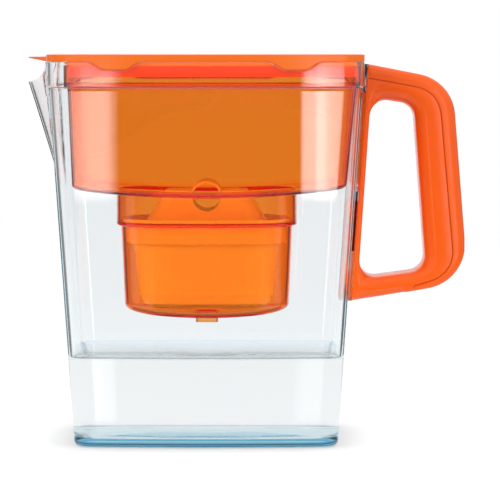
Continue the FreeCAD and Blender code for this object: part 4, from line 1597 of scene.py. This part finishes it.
@dataclass
class Studio:
    """Camera, floor, lamps and surroundings.

    Attributes:
        floor_glow: Brightness of the floor.
        floor_behind: The same, seen through clear pieces.
        floor_inner: The same, as light for what is inside them.
        ambient: Brightness of the room as light for dull surfaces.
        inner_ambient: The same, for what is inside clear pieces.
        front: What mirrors and clear pieces see beside the camera: degrees from it, and brightness.
        sides: The same for the rest of the room.
        front_angle: Degrees from the camera where the front ends.
        plain_angle: Degrees from the camera within which light that isn't mirrored sees plain white.
        peak: The greatest brightness that the room can have.
        card: Brightness of the card under the soft boxes.
        box_foot: Slope at which the boxes end, below the horizon.
        box_fade: How much lower the card starts.
        lift_start: Slope from which the room gets whiter.
        lift_share: How much whiter it is from the horizon up.
        white_slopes: Slopes, up or down, between which the room turns all white.
    """

    camera_place: tuple[float, float, float] = (0.0287, -1.55, 0.255)
    camera_tilt: float = 4.8
    lens: float = 167.8
    sensor: float = 36.0
    floor_reach: float = 30.0
    floor_side: float = 0.35
    floor_front: float = -0.3
    floor_drop: float = 0.0004
    floor_glow: float = 0.94
    floor_behind: float = 0.91
    floor_inner: float = 3.0
    shadow_reach: float = 0.03
    shadow_level: float = 0.4
    floor_colour: Colour = (0.16, 0.16, 0.162)
    ambient: float = 0.4
    inner_ambient: float = 3.3
    front: tuple[tuple[float, float], ...] = (
        (-25, 0.3), (-17, 0.3), (-15.5, 0.6), (-13, 4.2), (-11.3, 4.7), (-10.7, 4.2), (-9.6, 0.02),
        (8.3, 0.02), (8.5, 5.0), (9.7, 5.8), (9.9, 8.4), (10.6, 8.4), (11.0, 6.2), (13.5, 3.0),
        (14.5, 0.4), (25, 0.3),
    )
    sides: tuple[tuple[float, float], ...] = (
        (-180, 0.92), (-154, 0.92), (-147, 0.2), (-108, 0.2), (-102, 1.0), (-78, 1.0), (-70, 0.2),
        (70, 0.2), (78, 0.9), (102, 0.9), (108, 0.1), (147, 0.1), (154, 0.92), (180, 0.92),
    )
    front_angle: float = 25.0
    plain_angle: float = 70.0
    peak: float = 9.0
    card: float = 0.06
    box_foot: float = -0.129
    box_fade: float = 0.006
    lift_start: float = -0.1
    lift_share: float = 0.45
    white_slopes: tuple[float, float] = (0.25, 0.45)
    bounces: int = 40
    target: Vector = field(default_factory=lambda: Vector((0.0, 0.0, 0.13)))
    lamps: tuple[Lamp, ...] = (
        Lamp("left_box", (-1.15, -1.15, 0.75), 1.1, 14.3),
        Lamp("right_box", (1.2, -1.15, 0.7), 1.1, 12.9),
        Lamp("top_box", (0.1, -0.1, 1.5), 1.0, 6.8),
    )

    def build_camera(self) -> None:
        """Place the camera in front of the pitcher, level with the lid."""
        data = bpy.data.cameras.new("front_camera")
        data.lens = self.lens
        data.sensor_width = self.sensor
        camera = bpy.data.objects.new("front_camera", data)
        camera.location = self.camera_place
        camera.rotation_euler = (math.radians(90 - self.camera_tilt), 0.0, 0.0)
        bpy.context.scene.collection.objects.link(camera)
        bpy.context.scene.camera = camera

    def paper(self) -> bpy.types.Material:
        """Make the floor's material: pale paper that glows, less so close to the pitcher.

        Returns:
            The new material.
        """
        material, board, output = new_board("floor_paper")
        material.cycles.emission_sampling = "NONE"
        path = board.add("LightPath").outputs
        through = board.remap(path["Diffuse Depth"], self.floor_behind, self.floor_inner)
        level = board.remap(path["Is Transmission Ray"], self.floor_glow, through)
        near = board.add("AmbientOcclusion", {"Distance": self.shadow_reach}).outputs["AO"]
        shadow = board.remap(near, self.shadow_level, 1.0)
        glow = board.add("Emission", {"Strength": board.calculate("MULTIPLY", level, shadow)})
        dull = board.add("BsdfDiffuse", {"Color": self.floor_colour})
        both = board.add("AddShader", {0: dull.outputs[0], 1: glow.outputs[0]})
        board.feed(output.inputs["Surface"], both.outputs[0])
        return material

    def build_floor(self) -> None:
        """Lay the pale floor, which keeps a soft shadow."""
        mesh = bmesh.new()
        bmesh.ops.create_grid(mesh, x_segments=1, y_segments=1, size=self.floor_reach)
        narrow = self.floor_side / self.floor_reach
        bmesh.ops.scale(mesh, verts=mesh.verts, vec=(narrow, 1.0, 1.0))
        shift = self.floor_reach + self.floor_front
        bmesh.ops.translate(mesh, verts=mesh.verts, vec=(0.0, shift, -self.floor_drop))
        data = bpy.data.meshes.new("floor")
        mesh.to_mesh(data)
        mesh.free()
        data.materials.append(self.paper())
        floor = bpy.data.objects.new("floor", data)
        bpy.context.scene.collection.objects.link(floor)

    def ramp(self, board: NodeBoard, turn: Socket, stops: tuple[tuple[float, float], ...]) -> Socket:
        """Add a ramp of brightness over angles.

        Args:
            board: The world's node board.
            turn: The angle in radians.
            stops: Degrees and brightness of each stop.

        Returns:
            The brightness, as a share of the peak.
        """
        low, high = stops[0][0], stops[-1][0]
        share = board.remap(turn, 0.0, 1.0, math.radians(low), math.radians(high))
        node = board.add("ValToRGB", {"Fac": share})
        spots = node.color_ramp.elements
        for degrees, _ in stops[1:-1]:
            spots.new((degrees - low) / (high - low))
        for spot, (_, brightness) in zip(spots, stops):
            spot.color = (*self.grey(brightness), 1.0)
        return node.outputs["Color"]

    def grey(self, brightness: float) -> Colour:
        """Return a brightness as a grey, as a share of the peak."""
        return (brightness / self.peak,) * 3

    def around(self, board: NodeBoard) -> Socket:
        """Add the surroundings that mirrors and clear pieces see.

        Args:
            board: The world's node board.

        Returns:
            Their brightness, as a share of the peak.
        """
        white = self.grey(1.0)
        way = board.add("SeparateXYZ", {"Vector": board.add("TexCoord").outputs["Generated"]}).outputs
        turn = board.calculate("ARCTAN2", way["X"], board.calculate("MULTIPLY", way["Y"], -1.0))
        near = board.calculate("COMPARE", turn, 0.0, math.radians(self.front_angle))
        over_card = board.remap(way["Z"], 0.0, 1.0, self.box_foot - self.box_fade, self.box_foot)
        boxes = board.mix(over_card, self.grey(self.card), self.ramp(board, turn, self.front))
        level = board.mix(near, self.ramp(board, turn, self.sides), boxes)
        level = board.mix(self.unmirrored(board, turn), level, white)
        level = board.mix(board.remap(way["Z"], 0.0, self.lift_share, self.lift_start, 0.0), level, white)
        slope = board.calculate("ABSOLUTE", way["Z"])
        high = board.remap(slope, 0.0, 1.0, *self.white_slopes, interpolation_type="SMOOTHSTEP")
        return board.mix(high, level, white)

    def unmirrored(self, board: NodeBoard, turn: Socket) -> Socket:
        """Add a test for light that comes through clear pieces from the front without being mirrored.

        Args:
            board: The world's node board.
            turn: The angle from the camera's side in radians.

        Returns:
            The test's result, 1 where it holds.
        """
        ahead = board.calculate("COMPARE", turn, 0.0, math.radians(self.plain_angle))
        mirrors = board.add("LightPath").outputs["Glossy Depth"]
        return board.calculate("SUBTRACT", ahead, mirrors, clamp=True)

    def build_world(self) -> None:
        """Surround the pitcher with a white room, even for dull surfaces, with soft boxes for mirrors."""
        world = bpy.data.worlds.new("white_room")
        world.use_nodes = True
        world.cycles.sampling_method = "NONE"
        bpy.context.scene.world = world
        board = NodeBoard(world.node_tree)
        output = board.add("OutputWorld")
        path = board.add("LightPath").outputs
        mirrored = board.add("Background", {"Color": self.around(board), "Strength": self.peak})
        level = board.remap(path["Is Transmission Ray"], self.ambient, self.inner_ambient)
        direct = board.remap(path["Is Camera Ray"], level, 1.0)
        plain = board.add("Background", {"Color": (1.0, 1.0, 1.0), "Strength": direct})
        dull = board.calculate("ADD", path["Is Camera Ray"], path["Diffuse Depth"], clamp=True)
        pick = board.add("MixShader", {0: dull, 1: mirrored.outputs[0], 2: plain.outputs[0]})
        board.feed(output.inputs["Surface"], pick.outputs[0])

    def build(self) -> None:
        """Set up everything around the pitcher."""
        scene = bpy.context.scene
        scene.view_settings.view_transform = "Standard"
        scene.cycles.use_denoising = True
        scene.cycles.max_bounces = self.bounces
        scene.cycles.transmission_bounces = self.bounces
        scene.cycles.glossy_bounces = self.bounces
        self.build_camera()
        self.build_floor()
        self.build_world()
        for lamp in self.lamps:
            lamp.build(self.target)
        log.info("studio: camera, floor and %d lamps", len(self.lamps))


def main() -> None:
    """Build the pitcher piece by piece, then the studio."""
    jug = Jug()
    funnel = Funnel(jug)
    for assembly in (jug, Handle(jug), funnel, Lid(jug, funnel), Cartridge()):
        assembly.build()
    Studio().build()


if __name__ == "__main__":
    logging.basicConfig(level=logging.INFO)
    main()
